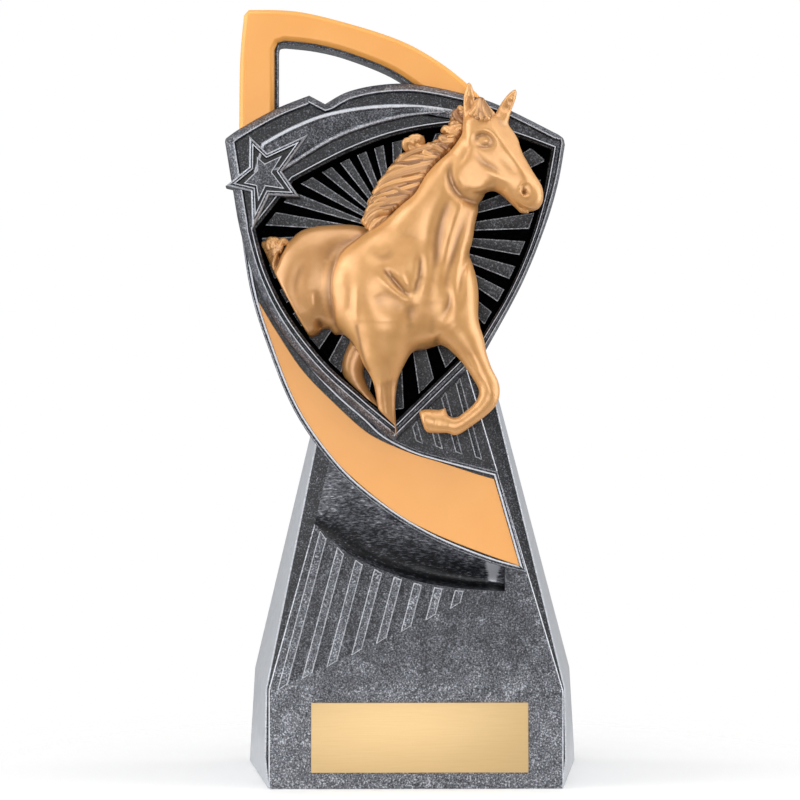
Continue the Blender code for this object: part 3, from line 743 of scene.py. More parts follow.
# %% Band and its paint
BORDER = 1.6
BAND_PROFILE = [(0, LEVEL_BACK + 0.4, 0), (0, 0.2, 0.1), (0.12, 0.7, 0.4), (0.3, 0.95, 0.8), (0.45, 0.9, 0.2),
                (0.6, 0.8, -0.2), (0.75, 1.0, 0.3), (0.95, 1.3, 1.0), (1.25, 1.3, 1.0), (1.38, 1.1, 0.2),
                (1.45, 0.85, -0.9), (BORDER, 0.8, -0.8)]
raised("band", band_outline, BAND_PROFILE, SILVER)
LOOP_PROFILE = [(0, LEVEL_BACK + 0.2, 0.3), (0, -0.2, 0.3), (0.25, 0.1, 0.5), (0.45, 0.2, -0.5),
                (0.9, 0.3, -1.0)]
raised("band_loop", loop_outline, LOOP_PROFILE, SILVER)
PAINT_TOP = 1.1
crescent_outline = outline(
    [(-42.4, 131), (-39.7, 121.4), (-35.7, 110.9), (-31.1, 101.3), (-26.3, 93.4), (-22.8, 88.8), (-16, 82.3),
     (-9.6, 77), (-2.9, 72.2), (6, 67.7), (16.2, 63.6), (27.9, 59.4)],
    [(27.9, 59.4), (21.1, 82.7)],
    [(21.1, 82.7), (16.3, 84.1), (6.2, 87.4), (-0.7, 89.5), (-9, 93), (-14.3, 96.3), (-21.1, 102.5),
     (-29.9, 111.5), (-36.8, 121.7), (-42.4, 131)])
raised("crescent_paint", crescent_outline, [(0, 0.5, 0), (0, PAINT_TOP - 0.1, 0), (0.12, PAINT_TOP, 0)],
       orange_paint)
loop_paint_outline = outline(
    [(-47.3, 168), (-47.35, 178), (-47.1, 196), (-46.1, 207.8)],
    [(-46.1, 207.8), (-44.8, 209.3)],
    [(-44.8, 209.3), (-32, 208.9), (-18.1, 205.7), (-4.3, 201.2), (5.4, 196), (13.3, 190), (19, 184.2)],
    [(19, 184.2), (14, 180)],
    [(14, 180), (4.4, 185.8)],
    [(4.4, 185.8), (-5.8, 192.8), (-17.9, 197.7), (-26.9, 200), (-35.2, 200.9)],
    [(-35.2, 200.9), (-37, 200.3)],
    [(-37, 200.3), (-37.8, 198.4)],
    [(-37.8, 198.4), (-37.8, 168)],
    [(-37.8, 168), (-47.3, 168)])
ROUNDED = [(0, -0.8, 0), (0, 0.1, 0), (0.1, 0.4, 0), (0.5, 0.85, 0), (1.0, 1.25, 0), (1.25, 1.35, 0),
           (1.5, 1.36, 0)]
raised("loop_paint", loop_paint_outline, ROUNDED, orange_paint)

# %% [markdown]
# ## Shield
# One mesh: the outer wall, a bright ridge, a speckled flat, the inner ridge round the panel, and a dark
# wall down to the black floor. The flat between both ridges is filled with triangles, because it is a
# shape with a hole in it.

# %% Shield and recess
SHIELD_FLOOR = 4.3
NARROW = 2.8
WIDE = 6.5
STRIP_WEAR = -0.15
FIELD_WEAR = -0.75
gap_out = distance_to(shield_outline, panel_outline)
gap_in = distance_to(panel_outline, shield_outline)
edge_way = np.roll(shield_outline, -1, 0) - np.roll(shield_outline, 1, 0)
outward = unit(np.column_stack([edge_way[:, 1], -edge_way[:, 0]])) * turn_of(shield_outline)
right, left, up = (np.maximum(way, 0) for way in (outward[:, 0], -outward[:, 0], outward[:, 1]))
slope_extra = np.clip(-0.3 + 1.3 * left + 1.3 * up - 1.1 * right, -0.4, 1.0)
shield_rings = rings_of(shield_outline, [
    (0, LEVEL_BACK, 0.1), (0, 1.2, -0.3), (0, 1.6, -0.9), (0.2, 2.6, 0.1), (0.9, 4.6, 0.25),
    (1.15, 5.05, 0.3), (RIDGE_INSET, 5.45, 0.8), (1.48, 5.45, 0.8), (1.6, 5.0, 0), (1.75, 4.6, -0.4),
    (1.95, SHIELD_FLOOR, 0)],
    np.minimum(gap_out / (NARROW + slope_extra), 1), slope_extra)
frame_rings = rings_of(panel_outline, [
    (-0.6, SHIELD_FLOOR, 0), (-0.4, 4.8, -0.2), (-0.2, 5.3, 0.95), (0, 5.3, 0.95),
    (0.15, 4.9, -0.4), (0.35, 4.5, -0.9), (0.6, 4.4, 0.1), (0.9, 3.9, -0.4), (1.9, 1.0, -0.5),
    (2.2, PANEL_FLOOR, -1)],
    np.minimum(gap_in / NARROW, 1))
shield_rings[-1] = (shield_rings[-1][0], np.interp(gap_out, (NARROW, WIDE), (STRIP_WEAR, FIELD_WEAR)))
frame_rings[0] = (frame_rings[0][0], np.interp(gap_in, (NARROW, WIDE), (STRIP_WEAR, FIELD_WEAR)))
# Painted shade: the inner wall of the panel gets darker towards its right, the side turned away from the
# light.
shaded_right_wall = np.interp(panel_outline[:, 0], (-20, 5), (0, -0.5))
for number in range(5, len(frame_rings)):
    frame_rings[number] = (frame_rings[number][0], frame_rings[number][1] + shaded_right_wall)
outer, inner = len(shield_outline) * len(shield_rings), len(panel_outline)
places = np.concatenate([ring for ring, _ in shield_rings + frame_rings])
wear_and_shading = np.concatenate([rubbed for _, rubbed in shield_rings + frame_rings])
faces = walls(shield_rings) + walls(frame_rings, outer)
rim_start = outer - len(shield_outline)
number = np.concatenate([np.arange(rim_start, outer), np.arange(outer, outer + inner)])
faces += [tuple(number[list(face)]) for face in filled_between(places[rim_start:outer],
                                                               places[outer:outer + inner])]
faces.append(tuple(range(len(places) - inner, len(places))))
faces.append(tuple(range(len(shield_outline) - 1, -1, -1)))
shield = finished_mesh("shield", places, faces, SILVER, {"wear_and_shading": wear_and_shading}, extra=(BLACK_WASH,))
WASHED_HEIGHT = 4.0
middles = np.array([to_drawing @ face.center for face in shield.data.polygons])
tops = np.array([max((to_drawing @ shield.data.vertices[number].co).z for number in face.vertices)
                 for face in shield.data.polygons])
inside = distance_to(middles[:, :2], panel_outline) < distance_to(middles[:, :2], shield_outline) - 0.3
washed = (tops < WASHED_HEIGHT) & (middles[:, 2] > PANEL_FLOOR - 0.1) & (inside | (tops < PANEL_FLOOR + 0.1))
shield.data.polygons.foreach_set("material_index", washed.astype(np.int32))
cast(shield)

# %% [markdown]
# ## Star and its trail
# A swoosh with a raised bead sweeps over the panel to a star with a double rim. A smaller star lies inside.

# %% Star and its trail
TRAIL_HALF = 2.1
TRAIL_LOW = np.array([(10.7, 180.8), (-4.1, 179), (-20.2, 173.9), (-35, 165)])
lower_edge = distance_to(trail_outline, TRAIL_LOW, False) < 1
raised("trail", trail_outline, [(0, 3.7, -0.8), (0.1, 4.8, -0.3), (0.3, 5.5, 0.5), (0.6, 5.8, 1.0),
                                (1.2, 5.75, 0.8), (1.4, 5.5, 0.1), (1.9, 5.35, -0.25)], SILVER,
       darker=0.3 * lower_edge, share=inset(trail_outline, TRAIL_HALF)[1] / TRAIL_HALF)
raised("star", star_outline, [(0, PANEL_FLOOR, -0.6), (0, 5.6, -0.2), (0.12, 6.4, 0.7), (0.35, 6.9, 0.9),
                              (0.65, 7.1, 0.3), (0.78, 6.95, -0.5), (0.9, 7.05, 0.2), (1.0, 7.2, 1.0),
                              (1.2, 7.15, 0.9), (1.32, 6.8, -0.3), (1.45, 5.6, -1.0)], SILVER)
raised("inner_star", inner_star, [(0, 5.3, -1.0), (0, 6.5, 0.3), (0.1, 6.85, 1.0), (0.3, 6.9, 0.8),
                                  (0.38, 6.85, -0.2)], SILVER)

# %% [markdown]
# ## Sunburst
# Thirty raised rays run from the middle of the panel to its wall, all by one rule, so Geometry Nodes make
# them. The tree copies one small grid for each ray, turns it round the middle, and asks with a ray cast
# how far the wall is in that direction. Share says how much of each step is ray and how much is gap.

# %% Helpers for trees of geometry nodes
def new_tree(name, inputs):
    """A geometry tree with a mesh in, a mesh out and named inputs."""
    tree = bpy.data.node_groups.new(name, "GeometryNodeTree")
    tree.interface.new_socket("Geometry", in_out="INPUT", socket_type="NodeSocketGeometry")
    tree.interface.new_socket("Geometry", in_out="OUTPUT", socket_type="NodeSocketGeometry")
    for key, (kind, value) in inputs.items():
        socket = tree.interface.new_socket(key, in_out="INPUT", socket_type="NodeSocket" + kind)
        if value is not None:
            socket.default_value = value
    start = tree.nodes.new("NodeGroupInput")
    return tree, start


def made_by(tree, thing, values):
    """Runs the tree on an object with its inputs set, and keeps the plain mesh."""
    step = thing.modifiers.new(tree.name, "NODES")
    step.node_group = tree
    for item in tree.interface.items_tree:
        if item.in_out == "INPUT" and item.name in values:
            step[item.identifier] = values[item.name]
    applied(thing)
    thing.data.transform(FACE)
    thing.data.shade_smooth()
    thing.data.set_sharp_from_angle(angle=SHARP)
    print(thing.name, len(thing.data.polygons), "faces by", tree.name)
    return thing


def node_vector(tree, operation, *values):
    links = {3 if operation == "SCALE" and i == 1 else i: value for i, value in enumerate(values)}
    return add_node(tree, "ShaderNodeVectorMath", links, operation=operation).outputs["Vector"]


def named(tree, name):
    return add_node(tree, "GeometryNodeInputNamedAttribute", {"Name": name}, data_type="FLOAT").outputs[0]


def copies_of_grid(tree, start, count):
    """One copy of the grid for each number: the mesh, the shares of each corner, and its copy's number."""
    line = add_node(tree, "GeometryNodeMeshLine", {"Count": count})
    index = add_node(tree, "GeometryNodeInputIndex").outputs[0]
    stored = add_node(tree, "GeometryNodeStoreNamedAttribute",
                      {"Geometry": line.outputs["Mesh"], "Name": "number", "Value": index},
                      data_type="FLOAT", domain="POINT")
    copies = add_node(tree, "GeometryNodeInstanceOnPoints",
                      {"Points": stored.outputs["Geometry"], "Instance": start.outputs["Geometry"]})
    real = add_node(tree, "GeometryNodeRealizeInstances", {"Geometry": copies.outputs["Instances"]})
    number = named(tree, "number")
    local = add_node(tree, "GeometryNodeInputPosition").outputs[0]
    raised_by = add_node(tree, "ShaderNodeCombineXYZ", {"Z": number}).outputs[0]
    place = node_vector(tree, "SUBTRACT", local, raised_by)
    shares = add_node(tree, "ShaderNodeSeparateXYZ", {0: place}).outputs
    return real.outputs[0], shares, number


def end_tree(tree, start, mesh, moved=None):
    """Moves the corners to their new places, if any are given, sets the finish and ends the tree."""
    if moved is not None:
        mesh = add_node(tree, "GeometryNodeSetPosition", {"Geometry": mesh, "Position": moved}).outputs[0]
    finish = add_node(tree, "GeometryNodeSetMaterial",
                      {"Geometry": mesh, "Material": start.outputs["Finish"]})
    add_node(tree, "NodeGroupOutput", {0: finish.outputs[0]})


FENCE_HALF = 20
RAY_REACH = 500.0


def fence(name, points, closed):
    """A wall that stands on a line, for the rays to be cast against."""
    low = [(x, y, -FENCE_HALF) for x, y in points]
    high = [(x, y, FENCE_HALF) for x, y in points]
    n = len(points)
    faces = [(i, (i + 1) % n, n + (i + 1) % n, n + i) for i in range(n if closed else n - 1)]
    mesh = bpy.data.meshes.new(name)
    mesh.from_pydata(low + high, [], faces)
    return placed(name, mesh)


def strip_grid(name, low, high, line, wears=(-1.0, 0.8, 0.0)):
    """The grid of one raised strip: share and offset along it and across it, height and wear."""
    inner = line + 0.06
    stations = [(0, 0, 0), (0, 0, 1), (0, line, 2), (0, inner, 3),
                (1, -inner, 3), (1, -line, 2), (1, 0, 1), (1, 0, 0)]
    heights = (low, high - 0.08, high, high - 0.02)
    places, wear_and_shading, across, along = [], [], [], []
    for u, u_offset, u_level in stations:
        for v, v_offset, v_level in stations:
            level = min(u_level, v_level)
            places.append((u, v, heights[level]))
            wear_and_shading.append(wears[(0, 1, 1, 2)[level]])
            along.append(u_offset)
            across.append(v_offset)
    n = len(stations)
    faces = [(i * n + j, (i + 1) * n + j, (i + 1) * n + j + 1, i * n + j + 1)
             for i in range(n - 1) for j in range(n - 1)]
    left, right = list(range(n)), [(n - 1) * n + j for j in range(n - 2, -1, -1)]
    back, front = [i * n + n - 1 for i in range(1, n)], [i * n for i in range(n - 2, 0, -1)]
    faces.append(tuple(left + back + right + front))
    attributes = {"wear_and_shading": wear_and_shading, "along": along, "across": across}
    return finished_mesh(name, places, faces, SILVER, attributes, place=Matrix.Identity(4), close=False)


# %% [markdown]
# The tree itself: a line of points, one grid on each, then a new place for every corner of every grid.

# %% Sunburst rays
RAYS = 30
RAY_LINE = 0.24
WALL_GAP = 1.5
rays_tree, start = new_tree("sunburst_rays", {
    "Rays": ("Int", RAYS), "Share": ("Float", 0.54), "First angle": ("Float", 0.0), "Start": ("Float", 6.0),
    "Clearance": ("Float", 0.3), "Middle": ("Vector", (0, 0, 0)), "Wall": ("Object", None),
    "Finish": ("Material", None)})
rays, share, number = copies_of_grid(rays_tree, start, start.outputs["Rays"])
step_angle = math_node(rays_tree, "DIVIDE", math.tau, start.outputs["Rays"])
turn = math_node(rays_tree, "MULTIPLY_ADD", share["Y"], start.outputs["Share"], number)
angle = math_node(rays_tree, "MULTIPLY_ADD", turn, step_angle, start.outputs["First angle"])
cosine = math_node(rays_tree, "COSINE", angle)
sine = math_node(rays_tree, "SINE", angle)
minus_sine = math_node(rays_tree, "MULTIPLY", sine, -1.0)
way = add_node(rays_tree, "ShaderNodeCombineXYZ", {"X": cosine, "Y": sine}).outputs[0]
side = add_node(rays_tree, "ShaderNodeCombineXYZ", {"X": minus_sine, "Y": cosine}).outputs[0]
wall = add_node(rays_tree, "GeometryNodeObjectInfo", {"Object": start.outputs["Wall"]})
hit = add_node(rays_tree, "GeometryNodeRaycast",
               {"Target Geometry": wall.outputs["Geometry"], "Source Position": start.outputs["Middle"],
                "Ray Direction": way, "Ray Length": RAY_REACH})
kept_free = math_node(rays_tree, "ADD", start.outputs["Start"], start.outputs["Clearance"])
room = math_node(rays_tree, "SUBTRACT", hit.outputs["Hit Distance"], kept_free)
out = math_node(rays_tree, "MULTIPLY_ADD", share["X"], room, start.outputs["Start"])
out = math_node(rays_tree, "ADD", out, named(rays_tree, "along"))
height = add_node(rays_tree, "ShaderNodeCombineXYZ", {"Z": share["Z"]}).outputs[0]
aside = node_vector(rays_tree, "SCALE", side, named(rays_tree, "across"))
moved = node_vector(rays_tree, "ADD", start.outputs["Middle"], node_vector(rays_tree, "SCALE", way, out))
moved = node_vector(rays_tree, "ADD", moved, aside)
moved = node_vector(rays_tree, "ADD", moved, height)
end_tree(rays_tree, start, rays, moved)

panel_wall = fence("panel_wall", inset(panel_outline, WALL_GAP)[0], True)
sunburst = strip_grid("sunburst", PANEL_FLOOR - 0.6, 0.0, RAY_LINE, (-1.0, 0.5, -0.75))
made_by(rays_tree, sunburst, {"First angle": math.radians(2.0), "Middle": (-5.1, 148.9, 0.0),
                              "Wall": panel_wall, "Finish": SILVER})
cast(sunburst)
bpy.data.objects.remove(panel_wall)

# %% [markdown]
# ## Bars
# Eight bars slant up the front, their feet on a rising line and their tops under the ledge, with a darker
# strip in each gap. Four narrower ones stand in the sunk panel beside the shield. One tree makes them all:
# it sets out the feet along a line, and a ray cast along the slant finds the fence that each one runs up to.

# %% Slanted bars
BAR_LINE = 0.26
FRONT_SLANT = (0.258, 0.966, 0.0)
PILLAR_SLANT = (-0.258, 0.966, 0.0)
NEXT_BAR = (6.6, 3.1, 0.0)
bars_tree, start = new_tree("slanted_bars", {
    "Bars": ("Int", 8), "First foot": ("Vector", (0, 0, 0)), "Next foot": ("Vector", (1, 0, 0)),
    "Width": ("Vector", (1, 0, 0)), "Slant": ("Vector", (0, 1, 0)), "Clearance": ("Float", 0.5),
    "Top": ("Object", None), "Finish": ("Material", None)})
bars, share, number = copies_of_grid(bars_tree, start, start.outputs["Bars"])
foot = node_vector(bars_tree, "ADD", start.outputs["First foot"],
                   node_vector(bars_tree, "SCALE", start.outputs["Next foot"], number))
foot = node_vector(bars_tree, "ADD", foot,
                   node_vector(bars_tree, "SCALE", start.outputs["Width"], share["Y"]))
top = add_node(bars_tree, "GeometryNodeObjectInfo", {"Object": start.outputs["Top"]})
hit = add_node(bars_tree, "GeometryNodeRaycast",
               {"Target Geometry": top.outputs["Geometry"], "Source Position": foot,
                "Ray Direction": start.outputs["Slant"], "Ray Length": RAY_REACH})
long = math_node(bars_tree, "SUBTRACT", hit.outputs["Hit Distance"], start.outputs["Clearance"])
out = math_node(bars_tree, "MULTIPLY_ADD", share["X"], long, named(bars_tree, "along"))
upward = node_vector(bars_tree, "NORMALIZE", start.outputs["Slant"])
sideways = add_node(bars_tree, "ShaderNodeCombineXYZ",
                    {"X": named(bars_tree, "across"), "Z": share["Z"]}).outputs[0]
moved = node_vector(bars_tree, "ADD", foot, node_vector(bars_tree, "SCALE", upward, out))
moved = node_vector(bars_tree, "ADD", moved, sideways)
end_tree(bars_tree, start, bars, moved)

ledge_fence = fence("ledge_fence", LEDGE_LINE, False)
front_bars = strip_grid("front_bars", -0.5, 0.4, BAR_LINE, (-0.8, 0.7, 0.1))
made_by(bars_tree, front_bars, {"First foot": (-37.0, 26.4, 0.0), "Next foot": NEXT_BAR,
                                "Width": (2.8, 1.4, 0.0), "Slant": FRONT_SLANT, "Clearance": 0.6,
                                "Top": ledge_fence, "Finish": SILVER})
cast(front_bars)
front_gaps = strip_grid("front_gaps", -0.5, 0.03, 0.3, (-0.3, -0.3, -0.5))
made_by(bars_tree, front_gaps, {"Bars": 7, "First foot": (-34.3, 27.9, 0.0), "Next foot": NEXT_BAR,
                                "Width": (3.6, 1.5, 0.0), "Slant": FRONT_SLANT, "Clearance": 1.6,
                                "Top": ledge_fence, "Finish": SILVER})
cast(front_gaps)
pillar_fence = fence("pillar_fence", [(-15.6, 83), (-5.8, 92.8), (18.8, 117), (30, 128)], False)
pillar_bars = strip_grid("pillar_bars", -1.7, -0.5, BAR_LINE, (-0.8, 0.6, -0.7))
made_by(bars_tree, pillar_bars, {"Bars": 4, "First foot": (0.2, 92.9, 0.0), "Next foot": (5.3, -1.45, 0.0),
                                 "Width": (1.9, -0.6, 0.0), "Slant": PILLAR_SLANT,
                                 "Top": pillar_fence, "Finish": SILVER})
cast(pillar_bars)
for used in (ledge_fence, pillar_fence):
    bpy.data.objects.remove(used)


# %% [markdown]
# ## Horse
# The horse is modelled like clay. Each muscle is a ball or a tapered limb in a field of distances on a
# fine grid, and neighbours melt into one another. The field is cut to the outlines that the real horse
# shows from the front, and lines are pressed in for its grooves and drawn out for its ridges. At the end
# the surface where the distance is zero becomes the mesh.

# %% The clay's grid
PITCH = 0.36
GRID_LOW = np.array((-43.5, 92.0, -2.2))
GRID_HIGH = np.array((36.0, 191.0, 25.0))
AXES = [np.arange(low, high, PITCH, dtype=np.float32) for low, high in zip(GRID_LOW, GRID_HIGH)]
FACE_POINTS = np.stack(np.meshgrid(AXES[0], AXES[1], indexing="ij"), -1).reshape(-1, 2).astype(float)
FAR = 6.0
print("grid", [len(axis) for axis in AXES])


def on_grid(values):
    """Values for the points of the face as one thin sheet of the grid."""
    return values.reshape(len(AXES[0]), len(AXES[1]), 1)


def new_clay():
    return np.full([len(axis) for axis in AXES], FAR, np.float32)


def melt(a, b, width):
    """The union of two fields, rounded where they meet."""
    near = np.maximum(width - np.abs(a - b), 0) / width
    return np.minimum(a, b) - near * near * width / 4


def common(a, b, width):
    """What both fields hold, rounded at its edge."""
    return -melt(-a, -b, width)


def window(low, high):
    """The part of the grid between two corners, and its coordinates."""
    spans = [slice(*np.searchsorted(axis, (a, b))) for axis, a, b in zip(AXES, low, high)]
    x, y, z = (axis[span] for axis, span in zip(AXES, spans))
    return tuple(spans), x[:, None, None], y[None, :, None], z[None, None, :]


def ball(clay, centre, radii, width=2.0):
    """A muscle with three radii."""
    centre, radii = np.array(centre, float), np.array(radii, float)
    spans, x, y, z = window(centre - radii - FAR, centre + radii + FAR)
    p = ((x - centre[0]) / radii[0], (y - centre[1]) / radii[1], (z - centre[2]) / radii[2])
    size = np.sqrt(sum(q * q for q in p)) + 1e-6
    slope = np.sqrt(sum((q / r) ** 2 for q, r in zip(p, radii))) + 1e-6
    clay[spans] = melt(clay[spans], size * (size - 1) / slope, width)


def limb(clay, knots, flat=1.0, width=1.5, steps=3):
    """A tapered limb through x, y, z and radius, flattened along z."""
    made = new_clay()
    knots = smooth_run(knots, steps, last=True)
    for a, b in zip(knots, knots[1:]):
        reach = max(a[3], b[3]) + 3
        spans, x, y, z = window(np.minimum(a[:3], b[:3]) - reach, np.maximum(a[:3], b[:3]) + reach)
        side = (b[:3] - a[:3]) * (1, 1, 1 / flat)
        px, py, pz = x - a[0], y - a[1], (z - a[2]) / flat
        along = np.clip((px * side[0] + py * side[1] + pz * side[2]) / (side @ side), 0, 1)
        gap = np.sqrt((px - along * side[0]) ** 2 + (py - along * side[1]) ** 2 + (pz - along * side[2]) ** 2)
        made[spans] = np.minimum(made[spans], (gap - a[3] - along * (b[3] - a[3])) * (1 + flat) / 2)
    clay[:] = melt(clay, made, width)


def side_of(line):
    """How far each point of the face is outside a closed outline; less than nought inside."""
    gap = distance_to(FACE_POINTS, line)
    x, y = FACE_POINTS.T
    inside = np.zeros(len(x), bool)
    for (ax, ay), (bx, by) in zip(line, np.roll(line, -1, 0)):
        if ay != by:
            crossed = ((ay > y) != (by > y)) & (x < (bx - ax) * (y - ay) / (by - ay) + ax)
            inside ^= crossed
    return on_grid(np.where(inside, -gap, gap)).astype(np.float32)


def press(clay, strokes):
    """Presses lines into the front: points, half width and depth each; a ridge has a depth less than 0.

    Each one fades towards its ends, as the stroke of a modelling tool does."""
    depth = np.zeros(len(FACE_POINTS))
    for points, half_width, amount in strokes:
        line = np.array(smooth_run(points, 4, last=True))
        gap, along = nearest_on(FACE_POINTS, line, closed=False)
        fade = np.sin(np.pi * np.clip(along, 0.03, 0.97)) ** 0.7
        depth += amount * fade * np.exp(-(gap / half_width) ** 2)
    clay += on_grid(depth).astype(np.float32)


# %% [markdown]
# ## Hindquarters, barrel and neck
# The hindquarters lie deepest in the panel. Three balls make the croup and the thigh, and the hind leg is
# one bent limb that passes behind the foreleg.

# %% Hindquarters and tail
hind = new_clay()
ball(hind, (-25, 136, 1), (15, 16, 9), 2)
ball(hind, (-29, 130.5, 1), (10, 11, 8.5), 2)
ball(hind, (-16, 140, 0), (14, 13, 8), 3)
hind_outline = outline(
    [(-44, 145.5), (-38, 145), (-35.5, 145.3), (-33.6, 147.1), (-31, 149.6), (-26.9, 150.9), (-21.6, 151.4),
     (-17.5, 151.3), (-12.7, 150.2), (-5, 147)],
    [(-5, 147), (-8, 120), (-22, 121)],
    [(-22, 121), (-22.9, 122.9), (-24.5, 122.8), (-26.2, 121.3), (-28.1, 120)],
    [(-28.1, 120), (-34, 116)], [(-34, 116), (-44, 145.5)])
hind = common(hind, side_of(hind_outline), 3.0)
hind_strokes = [
    ([(-29.1, 142), (-31.7, 135.8), (-31.8, 131.2), (-30.3, 126.5)], 2.2, 0.6),
    ([(-34.9, 145.6), (-36.4, 142.2), (-37.8, 138.2)], 0.6, 1.6),
    ([(-26.5, 125.5), (-25, 123)], 1.2, 1.0),
    ([(-24.5, 140), (-22, 144), (-17, 147)], 2.0, 0.5),
    ([(-27.5, 133), (-27, 127)], 1.2, -0.5)]
press(hind, hind_strokes)
limb(hind, [(-14, 119, 1, 3.4), (-16.4, 114.5, 1, 3.1), (-16.6, 110.8, 1, 2.8), (-14.6, 106.4, 1, 2.2),
            (-11.8, 102.4, 1, 1.9), (-9.5, 99.5, 1, 1.7)])
tail = new_clay()
limb(tail, [(-35.3, 143.5, 0, 1.6), (-38, 141.5, 0, 3.0), (-41, 140, 0, 3.0)], 0.8)
hind = melt(hind, tail, 0.3)

# %% [markdown]
# The near part of the body is a second field, so that a crease stays where it meets the hindquarters. Its
# strokes are the muscles of the shoulder, the two long folds of the neck and the groove round the jaw.

# %% Barrel, shoulders, chest and neck
near = new_clay()
ball(near, (-7, 134, 3), (19, 19, 12.5), 2)
ball(near, (2, 131.5, 4), (16, 16, 11.8), 3)
ball(near, (-10.5, 134.5, 6.3), (10, 14, 9.9), 3)
ball(near, (9.5, 130, 6), (9, 14, 9.4), 2)
limb(near, [(0, 138, 4.8, 15.5), (3, 147, 6, 13.4), (5.6, 154.3, 7.2, 12), (10, 161, 8, 10),
            (13.5, 165.5, 8.6, 8.2), (16.2, 171, 9.6, 7), (17.5, 176, 10.2, 5.6)], 0.75, 3, 6)
near_outline = outline(
    [(-12, 149.8), (-16.2, 146.4), (-21.2, 143.1), (-24.2, 137.6), (-24.7, 132.7), (-23.6, 127.6),
     (-22.4, 123.4), (-19.5, 120.9), (-17, 118.8), (-14.5, 116)],
    [(-14.5, 116), (-12, 108)], [(-12, 108), (-4.5, 110)],
    [(-4.5, 110), (-3, 115), (-1.3, 116.6)],
    [(-1.3, 116.6), (2.1, 116.9), (4.6, 117.6), (7.1, 118.4), (10.4, 118), (13, 114.5)],
    [(13, 114.5), (18.6, 114.5)],
    [(18.6, 114.5), (17.5, 118), (17.2, 122), (17.2, 128.4), (17.2, 133.5), (16.8, 136.8), (15.9, 140.5),
     (15.7, 142.8), (16.3, 146.1), (17, 151.2), (18, 154.6), (19.4, 158)],
    [(19.4, 158), (22, 170)], [(22, 170), (14, 181)],
    [(14, 181), (12.8, 176.9), (11.1, 173.4), (8.3, 170), (5.3, 166.9), (2.8, 163.9), (-0.2, 158.7),
     (-3.6, 156), (-8.1, 152.9), (-12, 149.8)])
near = common(near, side_of(near_outline), 4.0)
near_strokes = [
    ([(-11.2, 137.2), (-7.5, 133.4), (-2.9, 130.2), (-0.9, 128.9)], 1.3, -0.45),
    ([(-8.5, 138), (-4.8, 133.6), (-1.6, 130.4)], 1.0, 0.95),
    ([(1.2, 142), (1.0, 136.6), (-0.6, 130.6)], 1.3, 0.9),
    ([(-3.6, 140), (-2.8, 135), (-1.2, 131.6)], 1.2, -0.35),
    ([(-0.9, 129.4), (-2.1, 124.9), (-2.9, 120.7), (-5.4, 117)], 1.8, 0.6),
    ([(10.6, 163.2), (9.2, 157.3), (7.1, 152.4), (5.8, 147), (5.2, 141.1), (4.1, 135.8),
      (3.6, 129)], 2.2, 1.15),
    ([(14.9, 159), (12.9, 152.2), (10.8, 146.1), (9.1, 140), (8, 134.6), (7.3, 129.4)], 1.7, 0.8),
    ([(12.6, 158), (10.6, 151), (8.6, 145), (7.4, 139)], 1.2, -0.35),
    ([(10.2, 168), (8.9, 164), (9.6, 160.4), (12, 157.4), (15, 156.2), (18, 156.4)], 1.5, 1.5),
    ([(14.9, 145.8), (13.3, 140.3), (12, 136), (11.2, 129)], 1.1, 0.7),
    ([(9, 132.5), (8.6, 128), (6.6, 124)], 1.0, 0.5),
    ([(7.3, 121.6), (5, 118.6)], 0.6, 0.7),
    ([(-15.4, 133), (-15.9, 127), (-15.8, 122)], 0.8, -0.25),
    ([(-17.2, 134), (-17.6, 126)], 1.2, 0.3),
    ([(-15.7, 123), (-14.9, 118.8), (-14.1, 115.5), (-12.6, 111.5)], 0.5, 1.2),
    ([(-11, 131), (-8, 127.5), (-3.5, 126.5)], 2.0, 0.5),
    ([(-13, 143), (-9, 141), (-5.5, 143)], 2.2, 0.5),
    ([(-5, 147.5), (0, 146.5), (3.5, 142)], 2.4, 0.45),
    ([(-19.5, 139), (-20.5, 133)], 1.8, -0.4),
    ([(13.5, 128), (12, 122), (13, 118.5)], 1.3, 0.45)]
press(near, near_strokes)

# %% [markdown]
# ## Legs and head
# One foreleg reaches straight down to the tip of the shield. The other is bent up at the knee, with the
# hoof tucked under and a tuft of hair behind it.

# %% Forelegs and hoof
limb(near, [(-8, 124, 8, 9), (-8.4, 116.9, 8, 6.6), (-8.3, 112.9, 8, 4.7), (-8.1, 108.9, 7.5, 3.3),
            (-7.9, 103.6, 7, 2.5), (-7.5, 99, 6.5, 2.2), (-7, 95, 6, 2)], 0.9, 3, 9)
limb(near, [(10, 124, 9, 6), (13.2, 119.5, 9.5, 4.8), (15.2, 115.5, 10, 3.6), (17.4, 111, 10.5, 2.9),
            (19.3, 107.2, 10.5, 2.8), (19.2, 104, 10.4, 2.7), (17.2, 101.2, 10.1, 2.3),
            (14.4, 98.9, 9.7, 2.1), (12, 97.2, 9.2, 2.1), (10.4, 96.6, 8.8, 2.4)], 1, 2, 5)
hoof = new_clay()
limb(hoof, [(7.3, 98.8, 8.6, 1.7), (7.9, 100.6, 8.9, 1.1), (8.2, 102.0, 9.0, 0.4)])
limb(hoof, [(10.2, 96.8, 8.6, 2.4), (6.5, 97.4, 8, 3.3), (3, 98.2, 7.4, 3.6)])
hoof_outline = outline([(0.6, 101), (8.1, 101.8)], [(8.1, 101.8), (7.9, 100.2), (8.8, 98.8), (11, 98.4)],
                       [(11, 98.4), (13.5, 97.5), (12.2, 94.8)], [(12.2, 94.8), (3.3, 94.8)],
                       [(3.3, 94.8), (2.3, 96), (0.6, 101)])
hoof = common(hoof, side_of(hoof_outline), 1.0)
near = melt(near, hoof, 0.6)
